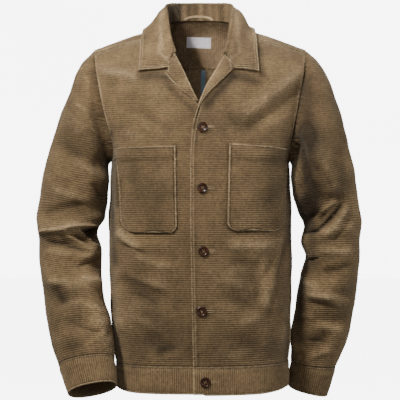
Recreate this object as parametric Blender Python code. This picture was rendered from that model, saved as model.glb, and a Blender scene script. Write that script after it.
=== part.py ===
"""Corduroy work jacket, filled out as if worn.

Frame: +Z up, the wearer faces -Y, the wearer's left is +X.  The origin lies
between the shoulders, level with the top of the shoulder ridge.
All sizes in the tables are millimetres; meshes are written in metres.
"""

import math

import bmesh
import bpy
import numpy as np
from mathutils import Vector
from mathutils.bvhtree import BVHTree

MM = 0.001

# Cloth walls
CLOTH = 1.8            # body corduroy
DOUBLE = 2.6           # folded and stitched corduroy: collar, pockets, cuffs
LINING = 1.2           # inside yoke
SEAM = 0.3             # gap kept at every seam
LAP = 4.2              # how far the right front lies behind the left one

# Body heights
HEM_SEAM_Z = -633.0    # body to waistband
HEM_Z = -682.0         # lower edge of the waistband
HEM_DROP = {1: 6.0, -1: 4.0}   # how much lower it hangs in front, left and right
HEM_DROP_Y = (-40.0, 60.0)     # y where that starts, and over how much y it grows

# Where the side seam meets the armhole, in degrees round it from the shoulder
# point towards the front
ARM_SIDE_SEAM = 180.0

LEFT, RIGHT = 1, -1
SIDE_NAME = {LEFT: "left", RIGHT: "right"}

# Armhole: centre, half height vector, reach to the front and to the back
ARM_CENTRE = np.array([190.0, -6.0, -139.0])
ARM_HALF = np.array([18.5, 14.0, 107.0])
ARM_FRONT = 54.0
ARM_BACK = 90.0
ARM_POWER = 2.2
ARM_SCOOP = {LEFT: 4.0, RIGHT: 10.0}   # inward curve of the front armhole

# Side seam: height, x and y for the left side, x and y for the right side
SIDE_SEAM = np.array([
    # z      left x  left y  right x  right y
    [-633.0, 167.0,  -30.0,  157.0,   -44.0],
    [-560.0, 172.5,  -29.0,  165.5,   -40.0],
    [-450.0, 174.5,  -28.0,  172.0,   -34.0],
    [-350.0, 174.0,  -28.0,  173.0,   -30.0],
])

# Neckline from the centre back to the point where the roll line starts
NECK = np.array([
    # share  x     y      z
    [0.00,   0.0,  66.0,  33.0],
    [0.20,   24.0, 63.0,  32.5],
    [0.40,   46.0, 51.0,  30.0],
    [0.58,   60.0, 31.0,  25.0],
    [0.73,   67.0, 2.0,   15.0],
    [0.86,   65.0, -28.0, 2.0],
    [0.94,   59.0, -54.0, -18.0],
    [1.00,   50.0, -78.0, -40.0],
])

# Front panel, a row for each level from the waistband seam to the shoulder
# seam.  The edge is the front edge and, above the break, the roll line.
FRONT_ROWS = np.array([
    # share  edge z  edge y  edge x: left, right   handles: edge, side  turn
    [0.00,   -633.0, -126.0, -13.0,  -9.0,         112.0,         62.0, 75.0],
    [0.11,   -560.0, -129.0, -15.0,  -9.0,         112.0,         62.0, 75.0],
    [0.28,   -450.0, -131.0, -17.0,  -9.0,         112.0,         66.0, 79.0],
    [0.44,   -350.0, -132.0, -18.5,  -9.0,         112.0,         70.0, 84.0],
    [0.60,   -248.0, -131.0, -18.5,  -9.0,         114.0,         78.0, 90.0],
    [0.67,   -205.0, -129.0, -16.5,  -9.0,         104.0,         56.0, 70.0],
    [0.74,   -160.0, -126.5, -8.0,   -6.0,         90.0,          48.0, 56.0],
    [0.81,   -115.0, -120.0, 7.5,    14.0,         75.0,          40.0, 44.0],
    [0.88,   -74.0,  -104.0, 31.0,   33.0,         60.0,          36.0, 36.0],
    [0.94,   -40.0,  -78.0,  50.0,   50.0,         48.0,          34.0, 28.0],
    [0.97,   -18.0,  -54.0,  59.0,   59.0,         44.0,          32.0, 20.0],
    [1.00,   2.0,    -28.0,  65.0,   65.0,         42.0,          32.0, 10.0],
])
FRONT_ARM = np.array([
    # share  degrees round the armhole
    [0.60,   180.0],
    [0.67,   128.0],
    [0.74,   100.0],
    [0.81,   76.0],
    [0.88,   54.0],
    [0.94,   37.0],
    [1.00,   22.0],
])

# Back panel, the same way; the edge is the centre back seam
BACK_ROWS = np.array([
    # share  edge z  edge y  handles: edge, side  turn
    [0.00,   -633.0, 96.0,   100.0,  104.0,       105.0],
    [0.13,   -560.0, 96.0,   100.0,  104.0,       105.0],
    [0.32,   -450.0, 98.0,   104.0,  106.0,       105.0],
    [0.49,   -350.0, 103.0,  106.0,  106.0,       105.0],
    [0.66,   -250.0, 108.0,  106.0,  90.0,        99.0],
    [0.72,   -222.0, 109.0,  104.0,  70.0,        92.0],
    [0.79,   -186.0, 110.5,  98.0,   56.0,        66.0],
    [0.86,   -142.0, 111.0,  90.0,   50.0,        42.0],
    [0.93,   -98.0,  110.0,  85.0,   46.0,        30.0],
    [1.00,   -58.0,  106.0,  80.0,   44.0,        26.0],
])
BACK_ARM = np.array([
    # share  degrees round the armhole
    [0.66,   180.0],
    [0.72,   208.0],
    [0.79,   234.0],
    [0.86,   258.0],
    [0.93,   284.0],
    [1.00,   308.0],
])

# Yoke, a line for each station from the neckline outwards: where it leaves
# the neckline, where it ends (on the armhole, or on the yoke seam), and how
# its two handles lean
YOKE_LINES = np.array([
    # share  neck   arm    neck handle: x, y, z   far handle: x, y, z
    [0.00,   0.86,  22.0,  42.0,  0.0,  -12.8,    -31.5, -5.6,  9.6],
    [0.18,   0.73,  0.0,   42.0,  3.0,  -9.0,     -45.0, 0.0,   20.0],
    [0.36,   0.55,  332.0, 36.0,  14.0, -9.0,     -42.0, -6.0,  24.0],
    [0.52,   0.38,  308.0, 28.0,  24.0, -10.0,    -40.0, -4.0,  26.0],
])
YOKE_SEAM_LINES = np.array([
    # share  neck   seam   neck handle: x, y, z   far handle: x, y, z
    [0.52,   0.38,  1.00,  28.0,  24.0, -10.0,    -40.0, -4.0,  26.0],
    [0.76,   0.19,  0.50,  10.0,  26.0, -14.0,    -6.0,  -4.0,  32.0],
    [1.00,   0.00,  0.00,  0.0,   26.0, -16.0,    0.0,   -3.0,  34.0],
])

# Sleeve rings: share of the length, outer edge x, z, inner edge x, z, then
# how far the ring's middle lies back, its half depth, and the lean in degrees
# that lifts its front rim
SLEEVE_RINGS = {
    RIGHT: np.array([
        # share  out x  out z   in x   in z    y       depth  lean
        [0.04,   217.0, -41.0,  179.0, -251.0, 4.0,    76.0,  0.0],
        [0.08,   226.0, -51.0,  181.0, -260.0, -4.0,   75.0,  0.0],
        [0.14,   240.0, -80.0,  180.0, -274.0, -12.0,  72.0,  0.0],
        [0.21,   257.0, -127.0, 178.5, -289.0, -18.0,  70.0,  0.0],
        [0.28,   275.0, -174.0, 178.0, -305.0, -21.0,  68.0,  0.0],
        [0.35,   290.0, -220.0, 178.0, -320.0, -21.0,  66.0,  1.0],
        [0.42,   302.0, -267.0, 180.0, -334.0, -18.0,  65.0,  2.0],
        [0.49,   311.0, -318.0, 184.0, -346.0, -13.0,  64.0,  4.0],
        [0.55,   317.0, -357.0, 186.0, -357.0, -11.0,  63.0,  6.0],
        [0.58,   315.0, -374.0, 195.0, -370.0, -12.0,  61.0,  8.0],
        [0.61,   313.5, -390.0, 199.0, -384.0, -15.0,  60.0,  10.0],
        [0.67,   311.0, -422.0, 191.0, -414.0, -22.0,  59.0,  14.0],
        [0.75,   306.0, -466.0, 189.0, -460.0, -34.0,  57.0,  17.0],
        [0.83,   299.0, -514.0, 184.0, -510.0, -48.0,  54.0,  20.0],
        [0.90,   290.0, -560.0, 173.0, -551.0, -64.0,  50.0,  22.0],
        [0.95,   280.0, -600.0, 165.5, -588.0, -79.0,  46.0,  23.0],
        [1.00,   266.0, -635.0, 161.0, -620.0, -93.0,  41.0,  24.0],
    ]),
    LEFT: np.array([
        # share  out x  out z   in x   in z    y       depth  lean
        [0.04,   217.0, -41.0,  179.0, -251.0, 4.0,    76.0,  0.0],
        [0.08,   226.0, -51.0,  181.5, -260.0, -4.0,   75.0,  0.0],
        [0.14,   246.0, -80.0,  180.5, -275.0, -12.0,  72.0,  0.0],
        [0.21,   263.0, -127.0, 179.5, -291.0, -17.0,  70.0,  0.0],
        [0.28,   277.0, -173.0, 179.5, -306.0, -18.0,  68.0,  0.0],
        [0.35,   289.0, -220.0, 181.5, -317.0, -16.0,  66.0,  0.0],
        [0.42,   299.0, -267.0, 186.0, -330.0, -10.0,  65.0,  0.0],
        [0.49,   309.0, -322.0, 193.0, -349.0, 1.0,    64.0,  0.0],
        [0.55,   314.5, -365.0, 203.0, -373.0, 2.0,    62.0,  0.0],
        [0.60,   312.0, -400.0, 196.0, -402.0, 4.0,    61.0,  -1.0],
        [0.65,   311.0, -433.0, 207.0, -433.0, 6.0,    60.0,  -2.0],
        [0.72,   309.0, -470.0, 197.0, -468.0, 10.0,   58.0,  -3.0],
        [0.79,   304.0, -514.0, 189.0, -512.0, 15.0,   55.0,  -4.0],
        [0.86,   297.0, -556.0, 183.0, -556.0, 21.0,   51.0,  -5.0],
        [0.93,   289.0, -598.0, 181.0, -596.0, 27.0,   46.0,  -6.0],
        [1.00,   267.0, -648.0, 179.0, -638.0, 33.0,   41.0,  -6.0],
    ]),
}
CUFF_END = {
    # out x, out z, in x, in z, y, half depth, lean
    RIGHT: np.array([247.0, -687.0, 156.0, -669.0, -112.0, 37.0, 26.0]),
    LEFT: np.array([251.0, -707.0, 175.0, -689.0, 38.0, 37.0, -6.0]),
}
SLEEVE_POWER = 2.25

# Sleeve seams in degrees round the ring, at the armhole and at the cuff
HIND_SEAM = {RIGHT: (-52.0, 8.0), LEFT: (-52.0, 24.0)}
INNER_SEAM = {RIGHT: (180.0, 205.0), LEFT: (180.0, 205.0)}

# Largest folds of the body and sleeves, given as seen from the face that
# they lie on: -1 for the front, +1 for the back
FOLDS = {
    "front_right": [
        # face, x and z of both ends, half width, rise
        (-1, -190, -72, -120, -92, 12, 5.0),
        (-1, -176, -110, -120, -98, 14, -3.0),
        (-1, -148, -390, -122, -412, 11, 6.0),
        (-1, -138, -478, -70, -506, 14, -5.0),
        (-1, -84, -424, -24, -436, 12, -4.0),
        (-1, -96, -590, -30, -578, 20, -5.0),
        (-1, -150, -560, -110, -520, 16, 4.0),
    ],
    "front_left": [
        (-1, 196, -78, 92, -160, 15, 6.0),
        (-1, 186, -110, 96, -186, 14, -5.0),
        (-1, 60, -409, 132, -411, 12, 6.0),
        (-1, 150, -404, 128, -520, 12, 5.0),
        (-1, 142, -410, 112, -500, 12, -4.0),
        (-1, 34, -580, 96, -592, 20, -5.0),
        (-1, 60, -460, 40, -540, 18, 3.0),
    ],
    "back_right": [
        (1, -180, -120, -110, -190, 18, 5.0),
        (1, -172, -170, -80, -240, 18, -5.0),
        (1, -160, -420, -60, -452, 18, 5.0),
        (1, -150, -460, -40, -486, 18, -5.0),
        (1, -140, -560, -70, -540, 20, 4.0),
    ],
    "back_left": [
        (1, 180, -128, 104, -200, 18, 5.0),
        (1, 168, -182, 70, -236, 18, -5.0),
        (1, 156, -400, 50, -440, 18, 5.0),
        (1, 150, -450, 34, -476, 18, -5.0),
        (1, 130, -580, 60, -548, 20, 4.0),
    ],
    "sleeve_right": [
        (-1, -234, -110, -180, -176, 15, -6.0),
        (-1, -270, -214, -186, -262, 15, -6.0),
        (-1, -250, -168, -196, -226, 14, 5.0),
        (-1, -214, -206, -190, -250, 18, -7.0),
        (-1, -300, -372, -238, -376, 15, 5.0),
        (-1, -240, -374, -190, -352, 15, 7.0),
        (-1, -236, -402, -200, -390, 14, -7.0),
        (-1, -300, -404, -256, -404, 14, -6.0),
        (-1, -296, -500, -258, -512, 18, -7.0),
        (-1, -240, -440, -196, -446, 14, -5.0),
        (-1, -244, -486, -196, -478, 14, 5.0),
        (-1, -236, -550, -180, -534, 14, -5.0),
        (-1, -232, -604, -170, -570, 13, -7.0),
        (1, -290, -330, -220, -300, 16, -7.0),
        (1, -296, -372, -214, -352, 16, 8.0),
        (1, -300, -416, -214, -400, 16, -8.0),
        (1, -290, -470, -210, -450, 18, 6.0),
        (1, -270, -560, -196, -530, 18, -6.0),
        (1, -262, -170, -214, -232, 18, -6.0),
    ],
    "sleeve_left": [
        (-1, 188, -222, 232, -316, 15, -9.0),
        (-1, 206, -200, 252, -300, 14, 6.0),
        (-1, 262, -318, 224, -358, 12, -7.0),
        (-1, 226, -354, 206, -366, 12, -8.0),
        (-1, 190, -394, 216, -430, 12, 9.0),
        (-1, 214, -388, 280, -376, 14, 6.0),
        (-1, 300, -500, 262, -508, 12, -7.0),
        (-1, 216, -500, 262, -516, 14, 6.0),
        (-1, 200, -456, 250, -468, 13, -6.0),
        (-1, 196, -548, 262, -560, 14, -5.0),
        (-1, 240, -590, 200, -622, 13, -6.0),
        (1, 290, -330, 220, -300, 16, -7.0),
        (1, 296, -372, 214, -352, 16, 8.0),
        (1, 300, -416, 214, -404, 16, -8.0),
        (1, 290, -480, 214, -456, 18, 6.0),
        (1, 276, -570, 200, -536, 18, -6.0),
        (1, 262, -160, 214, -222, 18, -6.0),
    ],
}

# Collar half, from the centre back to the front end: roll line, point where
# the fall turns down, and outer edge
COLLAR = np.array([
    # share  roll x  y      z      turn x y      z      edge x y      z
    [0.00,   0.0,    76.0,  72.0,  0.0,   93.0,  44.0,  0.0,   104.0, 4.0],
    [0.22,   28.0,   72.0,  71.0,  38.0,  87.0,  43.0,  50.0,  100.0, 3.0],
    [0.42,   51.0,   58.0,  69.5,  67.0,  68.0,  43.0,  86.0,  82.0,  3.0],
    [0.58,   64.0,   37.0,  65.0,  82.0,  44.0,  40.0,  104.0, 52.0,  3.0],
    [0.72,   67.0,   8.0,   55.0,  88.0,  8.0,   33.0,  110.0, 10.0,  5.0],
    [0.84,   63.5,   -34.0, 22.0,  85.0,  -38.0, 5.0,   112.0, -36.0, -24.0],
    [0.93,   57.0,   -68.0, -12.0, 71.0,  -80.0, -36.0, 113.0, -70.0, -54.0],
    [1.00,   50.0,   -89.0, -42.0, 60.0,  -101.0, -75.0, 116.0, -92.0, -80.0],
])
COLLAR_SPREAD = {LEFT: 0.955, RIGHT: 1.0}   # the left side sits closer in

# Lapel facings: height on the roll line, width of the left and the right one
LAPELS = np.array([
    # z       left   right
    [-187.0,  1.5,   1.5],
    [-160.0,  2.5,   1.5],
    [-137.0,  6.0,   7.0],
    [-122.0,  12.0,  18.0],
    [-108.0,  20.0,  28.0],
    [-95.0,   26.0,  34.5],
    [-86.0,   30.0,  38.0],
    [-79.0,   31.0,  27.0],
    [-72.0,   24.0,  24.0],
    [-60.0,   14.0,  14.0],
    [-51.0,   2.0,   2.0],
])
LAPEL_FOOT = {LEFT: -187.0, RIGHT: -137.0}
LAPEL_TIP = -86.0       # above it, the facings run on under the collar

# Patch pockets as seen from the front
POCKETS = {
    # x at the top (inner, outer), x at the foot, z of the mouth (inner,
    # outer), z of the foot, corner radius (inner, outer)
    RIGHT: dict(top=(45.0, 158.0), foot=(42.0, 147.0), mouth=(-221.0, -223.0),
                foot_z=-384.0, corner=(16.0, 26.0)),
    LEFT: dict(top=(54.0, 164.0), foot=(50.0, 159.0), mouth=(-216.0, -224.0),
               foot_z=-380.0, corner=(18.0, 22.0)),
}

# Buttons: x, z of each, the last one on the waistband
BUTTONS = [
    (4.7, -186.0),
    (4.3, -299.5),
    (6.5, -417.5),
    (3.4, -530.0),
    (9.9, -662.0),
]
POCKET_GAP = 1.8        # air behind the pockets
POCKET_PUFF = 2.5       # how much further their mouths stand off
POCKET_CLOTH = 2.1
LAPEL_GAP = 0.8         # air between a front and its turned-back facing
COLLAR_FOOT = (2.6, 1.5)   # how far the collar's foot stands in from the neck and above it
COLLAR_ROLL = 3.8       # half thickness of the collar's roll
COLLAR_GAP = 4.6        # middle of the collar's cloth over the shoulders
BUTTON_RADIUS = 9.7
BUTTON_SIDES = 16
BUTTON_PROFILE = [
    # share of the radius, height over the cloth
    (0.55, 0.0),
    (0.86, 0.3),
    (1.00, 1.4),
    (0.97, 2.5),
    (0.84, 3.1),
    (0.66, 2.9),
    (0.50, 2.1),
]

# Hanger loop on the inside of the collar stand
LOOP_ENDS = (-30.0, 24.0)
LOOP_FOOT_Z = 33.0
LOOP_RISE = 8.0
LOOP_WIDTH = 4.5
LOOP_THICK = 1.4
LOOP_SETBACK = 6.2

# Label on the inside of the yoke, seen from the front
LABEL_CENTRE = (-2.5, -6.0)
LABEL_SIZE = (49.0, 21.0)
LABEL_LEAN = 2.0
LABEL_THICK = 0.6
LABEL_LIFT = 0.5        # clear of the cloth behind it, as the tape is
LOOP_LEAN = 0.12        # how far the loop leans back for each millimetre up

# Binding of the centre back seam: thickness, part of the seam that it covers,
# and where its two edges lie across the left back
TAPE_THICK = 0.8
TAPE_ALONG = (0.012, 0.996)
TAPE_ACROSS = (0.006, 0.045)

# Rows and columns of points
PANEL_COLUMNS = {"front": 16, "back": 13}
YOKE_COLUMNS = 8
SLEEVE_ROWS = 28
CUFF_SIDES = 24
BAND_COLUMNS = {"front": 12, "back": 10}
BAND_ROWS = 4
POCKET_ROWS, POCKET_COLUMNS = 14, 11
COLLAR_STATIONS = 13
LOOP_STATIONS = 13
TAPE_ROWS = 20
LABEL_ROWS, LABEL_COLUMNS = 4, 7
FRONT_SHARES = np.concatenate([np.linspace(0.0, 0.60, 14), np.linspace(0.60, 1.0, 11)[1:]])
BACK_SHARES = np.concatenate([np.linspace(0.0, 0.66, 12), np.linspace(0.66, 1.0, 8)[1:]])
YOKE_SHARES = np.concatenate([np.linspace(0.0, 0.52, 7), np.linspace(0.52, 1.0, 7)[1:]])

# Folds fade out towards the closing, the centre back and the cuffs: the share
# where they start, and the share over which they grow
FOLD_FADE = {"front": (0.12, 0.15), "back": (0.10, 0.15)}
CUFF_FADE = 0.06

# Shares of a panel or sleeve that make a seam gap, and the steps over which
# a surface's normal is read
EDGE_GAP = 0.0014
SLEEVE_GAP = 0.0022      # at the armhole
YOKE_GAP = 0.006         # at the forward shoulder seam
CUFF_GAP = 0.0003        # at the cuff seam, of the sleeve's length
CUFF_TOP = 0.002         # and of the cuff's depth
SEAM_DEGREES = 0.3
NORMAL_STEP = np.array([0.004, 0.004])
SLEEVE_STEP = np.array([3.0, 0.01])
BODY_AXIS = np.array([0.0, 0.0, -330.0])
SHOULDER_AXIS = np.array([0.0, 0.0, -200.0])
FAR_IN_FRONT = -400.0    # y from which pieces are laid on the front
FAR_ABOVE = 250.0        # height from which the collar is kept off the shoulders

# Colours, linear: base colour, roughness
COLOURS = {
    "cord": ((0.195, 0.130, 0.068), 0.92),
    "cord_inside": ((0.150, 0.105, 0.058), 0.92),
    "strap": ((0.300, 0.212, 0.122), 0.88),
    "button": ((0.022, 0.012, 0.008), 0.28),
    "label": ((0.75, 0.74, 0.71), 0.70),
    "tape": ((0.115, 0.160, 0.215), 0.75),
}


def clear_scene():
    for old in list(bpy.data.objects):
        bpy.data.objects.remove(old, do_unlink=True)


def glide(keys, values, at):
    """Read a table between its rows on a smooth curve with no overshoot."""
    keys = np.asarray(keys, float)
    values = np.asarray(values, float).reshape(len(keys), -1)
    at = np.clip(np.asarray(at, float), keys[0], keys[-1])
    step = np.diff(keys)[:, None]
    slope = np.diff(values, axis=0) / step
    tangent = np.vstack([slope[:1], slope[-1:]]) if len(keys) == 2 else None
    if tangent is None:
        before, after = slope[:-1], slope[1:]
        same = before * after > 0
        total = np.where(same, before + after, 1.0)
        middle = np.where(same, 2.0 * before * after / total, 0.0)
        tangent = np.vstack([slope[:1], middle, slope[-1:]])
    low = np.clip(np.searchsorted(keys, at, side="right") - 1, 0, len(keys) - 2)
    t = ((at - keys[low]) / step[low, 0])[..., None]
    span = step[low]
    return (values[low] * (2 * t**3 - 3 * t**2 + 1)
            + tangent[low] * span * (t**3 - 2 * t**2 + t)
            + values[low + 1] * (3 * t**2 - 2 * t**3)
            + tangent[low + 1] * span * (t**3 - t**2))


def bezier(start, near, far, end, t):
    t = np.asarray(t)[..., None]
    return (start * (1 - t)**3 + near * 3 * t * (1 - t)**2
            + far * 3 * t**2 * (1 - t) + end * t**3)


def mirrored(points, side):
    return points * np.array([side, 1.0, 1.0])


def superround(degrees, power):
    """Cosine and sine of a rounded-square ring."""
    angle = np.radians(degrees)
    cos, sin = np.cos(angle), np.sin(angle)
    shape = 2.0 / power
    return (np.sign(cos) * np.abs(cos)**shape, np.sign(sin) * np.abs(sin)**shape)


def armhole(side, degrees):
    """Armhole seam for x > 0: 0 at the shoulder, 90 in front, 180 below."""
    degrees = np.asarray(degrees, float) % 360.0
    cos, sin = superround(degrees, ARM_POWER)
    reach = np.where(sin > 0, ARM_FRONT, ARM_BACK)
    points = ARM_CENTRE + ARM_HALF * cos[..., None]
    points[..., 1] -= reach * sin
    points[..., 0] -= ARM_SCOOP[side] * np.exp(-((degrees - 135.0) / 35.0)**2)
    return points


def side_seam(side, z):
    column = 1 if side == LEFT else 3
    top = armhole(side, ARM_SIDE_SEAM)
    keys = np.append(SIDE_SEAM[:, 0], top[2])
    values = np.vstack([SIDE_SEAM[:, column:column + 2], top[:2]])
    found = glide(keys, values, z)
    return np.concatenate([found, np.asarray(z, float)[..., None]], axis=-1)


def outer_edge(side, share, arm_table):
    """Side seam below the armhole, armhole seam above it."""
    share = np.asarray(share, float)
    split = arm_table[0, 0]
    top_z = armhole(side, ARM_SIDE_SEAM)[2]
    z = HEM_SEAM_Z + (top_z - HEM_SEAM_Z) * np.clip(share / split, 0, 1)
    seam = side_seam(side, z)
    degrees = glide(arm_table[:, 0], arm_table[:, 1], share)[..., 0]
    return np.where((share <= split)[..., None], seam, armhole(side, degrees))


def row_curve(edge, rim, near, far, turn, across):
    """Row of a panel from its centre edge to its outer edge."""
    width = np.maximum(rim[..., 0] - edge[..., 0], 1.0)
    rise = (rim[..., 2] - edge[..., 2]) / width
    angle = np.radians(turn)
    start = edge + np.stack([near, 0 * near, rise * near], axis=-1)
    lean = np.stack([np.cos(angle), np.sin(angle), rise * np.cos(angle)], axis=-1)
    end = rim - far[..., None] * lean
    return bezier(edge, start, end, rim, across)


def front_surface(side, across, share):
    """Outer face of a front panel, on its own side."""
    across, share = np.broadcast_arrays(across, share)
    row = glide(FRONT_ROWS[:, 0], FRONT_ROWS[:, 1:], share)
    edge_x = row[..., 2] if side == LEFT else row[..., 3]
    edge = np.stack([edge_x, row[..., 1], row[..., 0]], axis=-1)
    if side == RIGHT:
        below = np.clip((-112.0 - row[..., 0]) / 24.0, 0, 1)
        edge[..., 1] += LAP * below
    rim = outer_edge(side, share, FRONT_ARM)
    points = row_curve(edge, rim, row[..., 4], row[..., 5], row[..., 6], across)
    return mirrored(points, side)


def back_surface(side, across, share):
    """Outer face of a back panel, on its own side."""
    across, share = np.broadcast_arrays(across, share)
    row = glide(BACK_ROWS[:, 0], BACK_ROWS[:, 1:], share)
    edge = np.stack([0 * row[..., 0], row[..., 1], row[..., 0]], axis=-1)
    rim = outer_edge(side, share, BACK_ARM)
    turn = -row[..., 4]
    points = row_curve(edge, rim, row[..., 2], row[..., 3], turn, across)
    return mirrored(points, side)


def yoke_surface(side, outward, share):
    """Outer face of one half of the yoke, from the forward shoulder seam
    (share 0) over the shoulder to the centre back (share 1)."""
    outward, share = np.broadcast_arrays(outward, share)
    on_arm = share <= YOKE_LINES[-1, 0]
    arm_row = glide(YOKE_LINES[:, 0], unwound(YOKE_LINES[:, 1:]), share)
    seam_row = glide(YOKE_SEAM_LINES[:, 0], YOKE_SEAM_LINES[:, 1:], share)
    row = np.where(on_arm[..., None], arm_row, seam_row)
    neck = glide(NECK[:, 0], NECK[:, 1:], row[..., 0])
    arm_end = armhole(side, arm_row[..., 1])
    seam_end = mirrored(back_surface(side, seam_row[..., 1], 1.0), side)
    end = np.where(on_arm[..., None], arm_end, seam_end)
    points = bezier(neck, neck + row[..., 2:5], end + row[..., 5:8], end, outward)
    return mirrored(points, side)


def unwound(lines):
    """Turn armhole degrees past 180 into negative ones, so that they glide."""
    lines = lines.copy()
    lines[:, 1] = np.where(lines[:, 1] > 180.0, lines[:, 1] - 360.0, lines[:, 1])
    return lines


def ring(values, degrees):
    """Ring of a sleeve or cuff from its outer and inner edges, for x > 0."""
    outer = np.stack([values[..., 0], values[..., 4], values[..., 1]], axis=-1)
    inner = np.stack([values[..., 2], values[..., 4], values[..., 3]], axis=-1)
    cos, sin = superround(degrees, SLEEVE_POWER)
    lean = np.radians(values[..., 6])
    forward = np.stack([0 * lean, -np.cos(lean), np.sin(lean)], axis=-1)
    middle = (outer + inner) / 2
    half = (outer - inner) / 2
    return middle + half * cos[..., None] + forward * (values[..., 5] * sin)[..., None]


def sleeve_surface(side, degrees, share):
    """Outer face of a sleeve, from the armhole (share 0) to the cuff seam."""
    degrees, share = np.broadcast_arrays(degrees, share)
    rings = SLEEVE_RINGS[side]
    lower = ring(glide(rings[:, 0], rings[:, 1:], share), degrees)
    start = armhole(side, degrees)
    first = rings[0, 0]
    blend = np.clip(share / first, 0, 1)[..., None]
    return mirrored(start + (lower - start) * blend, side)


def unit(vectors):
    length = np.linalg.norm(vectors, axis=-1, keepdims=True)
    return vectors / np.maximum(length, 1e-9)


def normals_of(points):
    """Unit normals of a grid of points, by central differences."""
    return unit(np.cross(np.gradient(points, axis=0), np.gradient(points, axis=1)))


def normals_at(surface, side, first, second, reach):
    """Unit normals of a surface, read just around each point."""
    first, second = np.broadcast_arrays(first, second)
    step = reach / 2
    along = surface(side, first + step[0], second) - surface(side, first - step[0], second)
    across = surface(side, first, second + step[1]) - surface(side, first, second - step[1])
    return unit(np.cross(along, across))


def drawn_in(points, length):
    """Pull the four edges of a grid inwards along the cloth."""
    points = points.copy()
    points[0] += unit(points[1] - points[0]) * length
    points[-1] += unit(points[-2] - points[-1]) * length
    points[:, 0] += unit(points[:, 1] - points[:, 0]) * length
    points[:, -1] += unit(points[:, -2] - points[:, -1]) * length
    return points


def facing(points, normal, centre):
    """Turn normals away from a point or line of points inside the garment."""
    outward = np.sum((points - centre) * normal, axis=-1).sum()
    return normal if outward > 0 else -normal


def fold_rise(points, normal, folds):
    """Height that the folds add along the normal."""
    rise = np.zeros(points.shape[:-1])
    flat = points[..., [0, 2]]
    for face, x0, z0, x1, z1, width, height in folds:
        start = np.array([x0, z0], float)
        run = np.array([x1, z1], float) - start
        along = np.clip((flat - start) @ run / (run @ run), 0, 1)
        nearest = start + along[..., None] * run
        away = np.linalg.norm(flat - nearest, axis=-1) / width
        seen = np.clip(normal[..., 1] * face * 1.8, 0, 1)
        rise += height * seen * np.exp(-away**2)
    return rise


def grid_faces(rows, cols, start=0, closed=False):
    """Triangles over a grid of points, each square split the same way."""
    faces = []
    for row in range(rows - 1):
        for col in range(cols if closed else cols - 1):
            after = (col + 1) % cols
            near, far = start + row * cols, start + (row + 1) * cols
            faces.append([near + col, near + after, far + after])
            faces.append([near + col, far + after, far + col])
    return faces


def strip_faces(first, second):
    """Triangles between two equally long lines of points."""
    faces = []
    for step in range(len(first) - 1):
        faces.append([first[step], first[step + 1], second[step + 1]])
        faces.append([first[step], second[step + 1], second[step]])
    return faces


def wall_mesh(name, outer, inner, closed=False):
    """Closed wall between two grids of points, in millimetres.  In a closed
    one the last column joins the first, as in a tube."""
    rows, cols = outer.shape[:2]
    layer = rows * cols
    number = np.arange(layer).reshape(rows, cols)
    faces = grid_faces(rows, cols, 0, closed)
    faces += [face[::-1] for face in grid_faces(rows, cols, layer, closed)]
    for line in (number[0], number[-1]):
        edge = np.append(line, line[0]) if closed else line
        faces += strip_faces(edge, edge + layer)
    if not closed:
        for line in (number[:, 0], number[:, -1]):
            faces += strip_faces(line, line + layer)
    points = np.concatenate([outer.reshape(-1, 3), inner.reshape(-1, 3)]) * MM
    return finish_mesh(name, points, faces)


def finish_mesh(name, points, faces):
    mesh = bpy.data.meshes.new(name)
    mesh.from_pydata(points.tolist(), [], [[int(corner) for corner in face] for face in faces])
    shape = bmesh.new()
    shape.from_mesh(mesh)
    bmesh.ops.recalc_face_normals(shape, faces=shape.faces[:])
    shape.to_mesh(mesh)
    shape.free()
    mesh.shade_smooth()
    mesh.set_sharp_from_angle(angle=math.radians(50))
    return mesh


def material(name):
    colour, roughness = COLOURS[name]
    made = bpy.data.materials.get(name) or bpy.data.materials.new(name)
    made.use_nodes = True
    shader = made.node_tree.nodes["Principled BSDF"]
    shader.inputs["Base Color"].default_value = (*colour, 1.0)
    shader.inputs["Roughness"].default_value = roughness
    shader.inputs["Metallic"].default_value = 0.0
    return made


def add(name, mesh, finish):
    piece = bpy.data.objects.new(name, mesh)
    bpy.context.scene.collection.objects.link(piece)
    mesh.materials.append(material(finish))
    return piece


def surface_tree(*grids):
    """Search tree over outer faces, in millimetres."""
    points, faces = [], []
    for grid in grids:
        faces += grid_faces(*grid.shape[:2], start=len(points))
        points += [Vector(point) for point in grid.reshape(-1, 3)]
    return BVHTree.FromPolygons(points, faces)


def panel(name, grid, normal, folds, fade):
    """Wall of one panel: folds on the outer face, an even wall behind it,
    and edges drawn in on the wrong side so that two walls meet at a seam."""
    rise = fold_rise(grid, normal, folds) * fade
    outer = grid + normal * rise[..., None]
    inner = drawn_in(outer - normal * CLOTH, 0.5)
    add(name, wall_mesh(name, outer, inner), "cord")
    return outer


def build_torso_panel(kind, surface, side, across, share, fade):
    normal = normals_at(surface, side, across, share, NORMAL_STEP)
    grid = surface(side, across, share)
    normal = facing(grid, normal, BODY_AXIS)
    name = "%s_%s" % (kind, SIDE_NAME[side])
    return panel(name, grid, normal, FOLDS[name], fade)


def build_fronts():
    """The folds fade out towards the front edge, where one front laps over
    the other."""
    across = np.linspace(0.0, 1.0 - EDGE_GAP, PANEL_COLUMNS["front"])[None, :]
    share = FRONT_SHARES[:, None].copy()
    share[0] += EDGE_GAP / 2
    share[-1] -= EDGE_GAP / 2
    start, reach = FOLD_FADE["front"]
    fade = np.clip((across - start) / reach, 0, 1)
    return {side: build_torso_panel("front", front_surface, side, across, share, fade)
            for side in (LEFT, RIGHT)}


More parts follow.
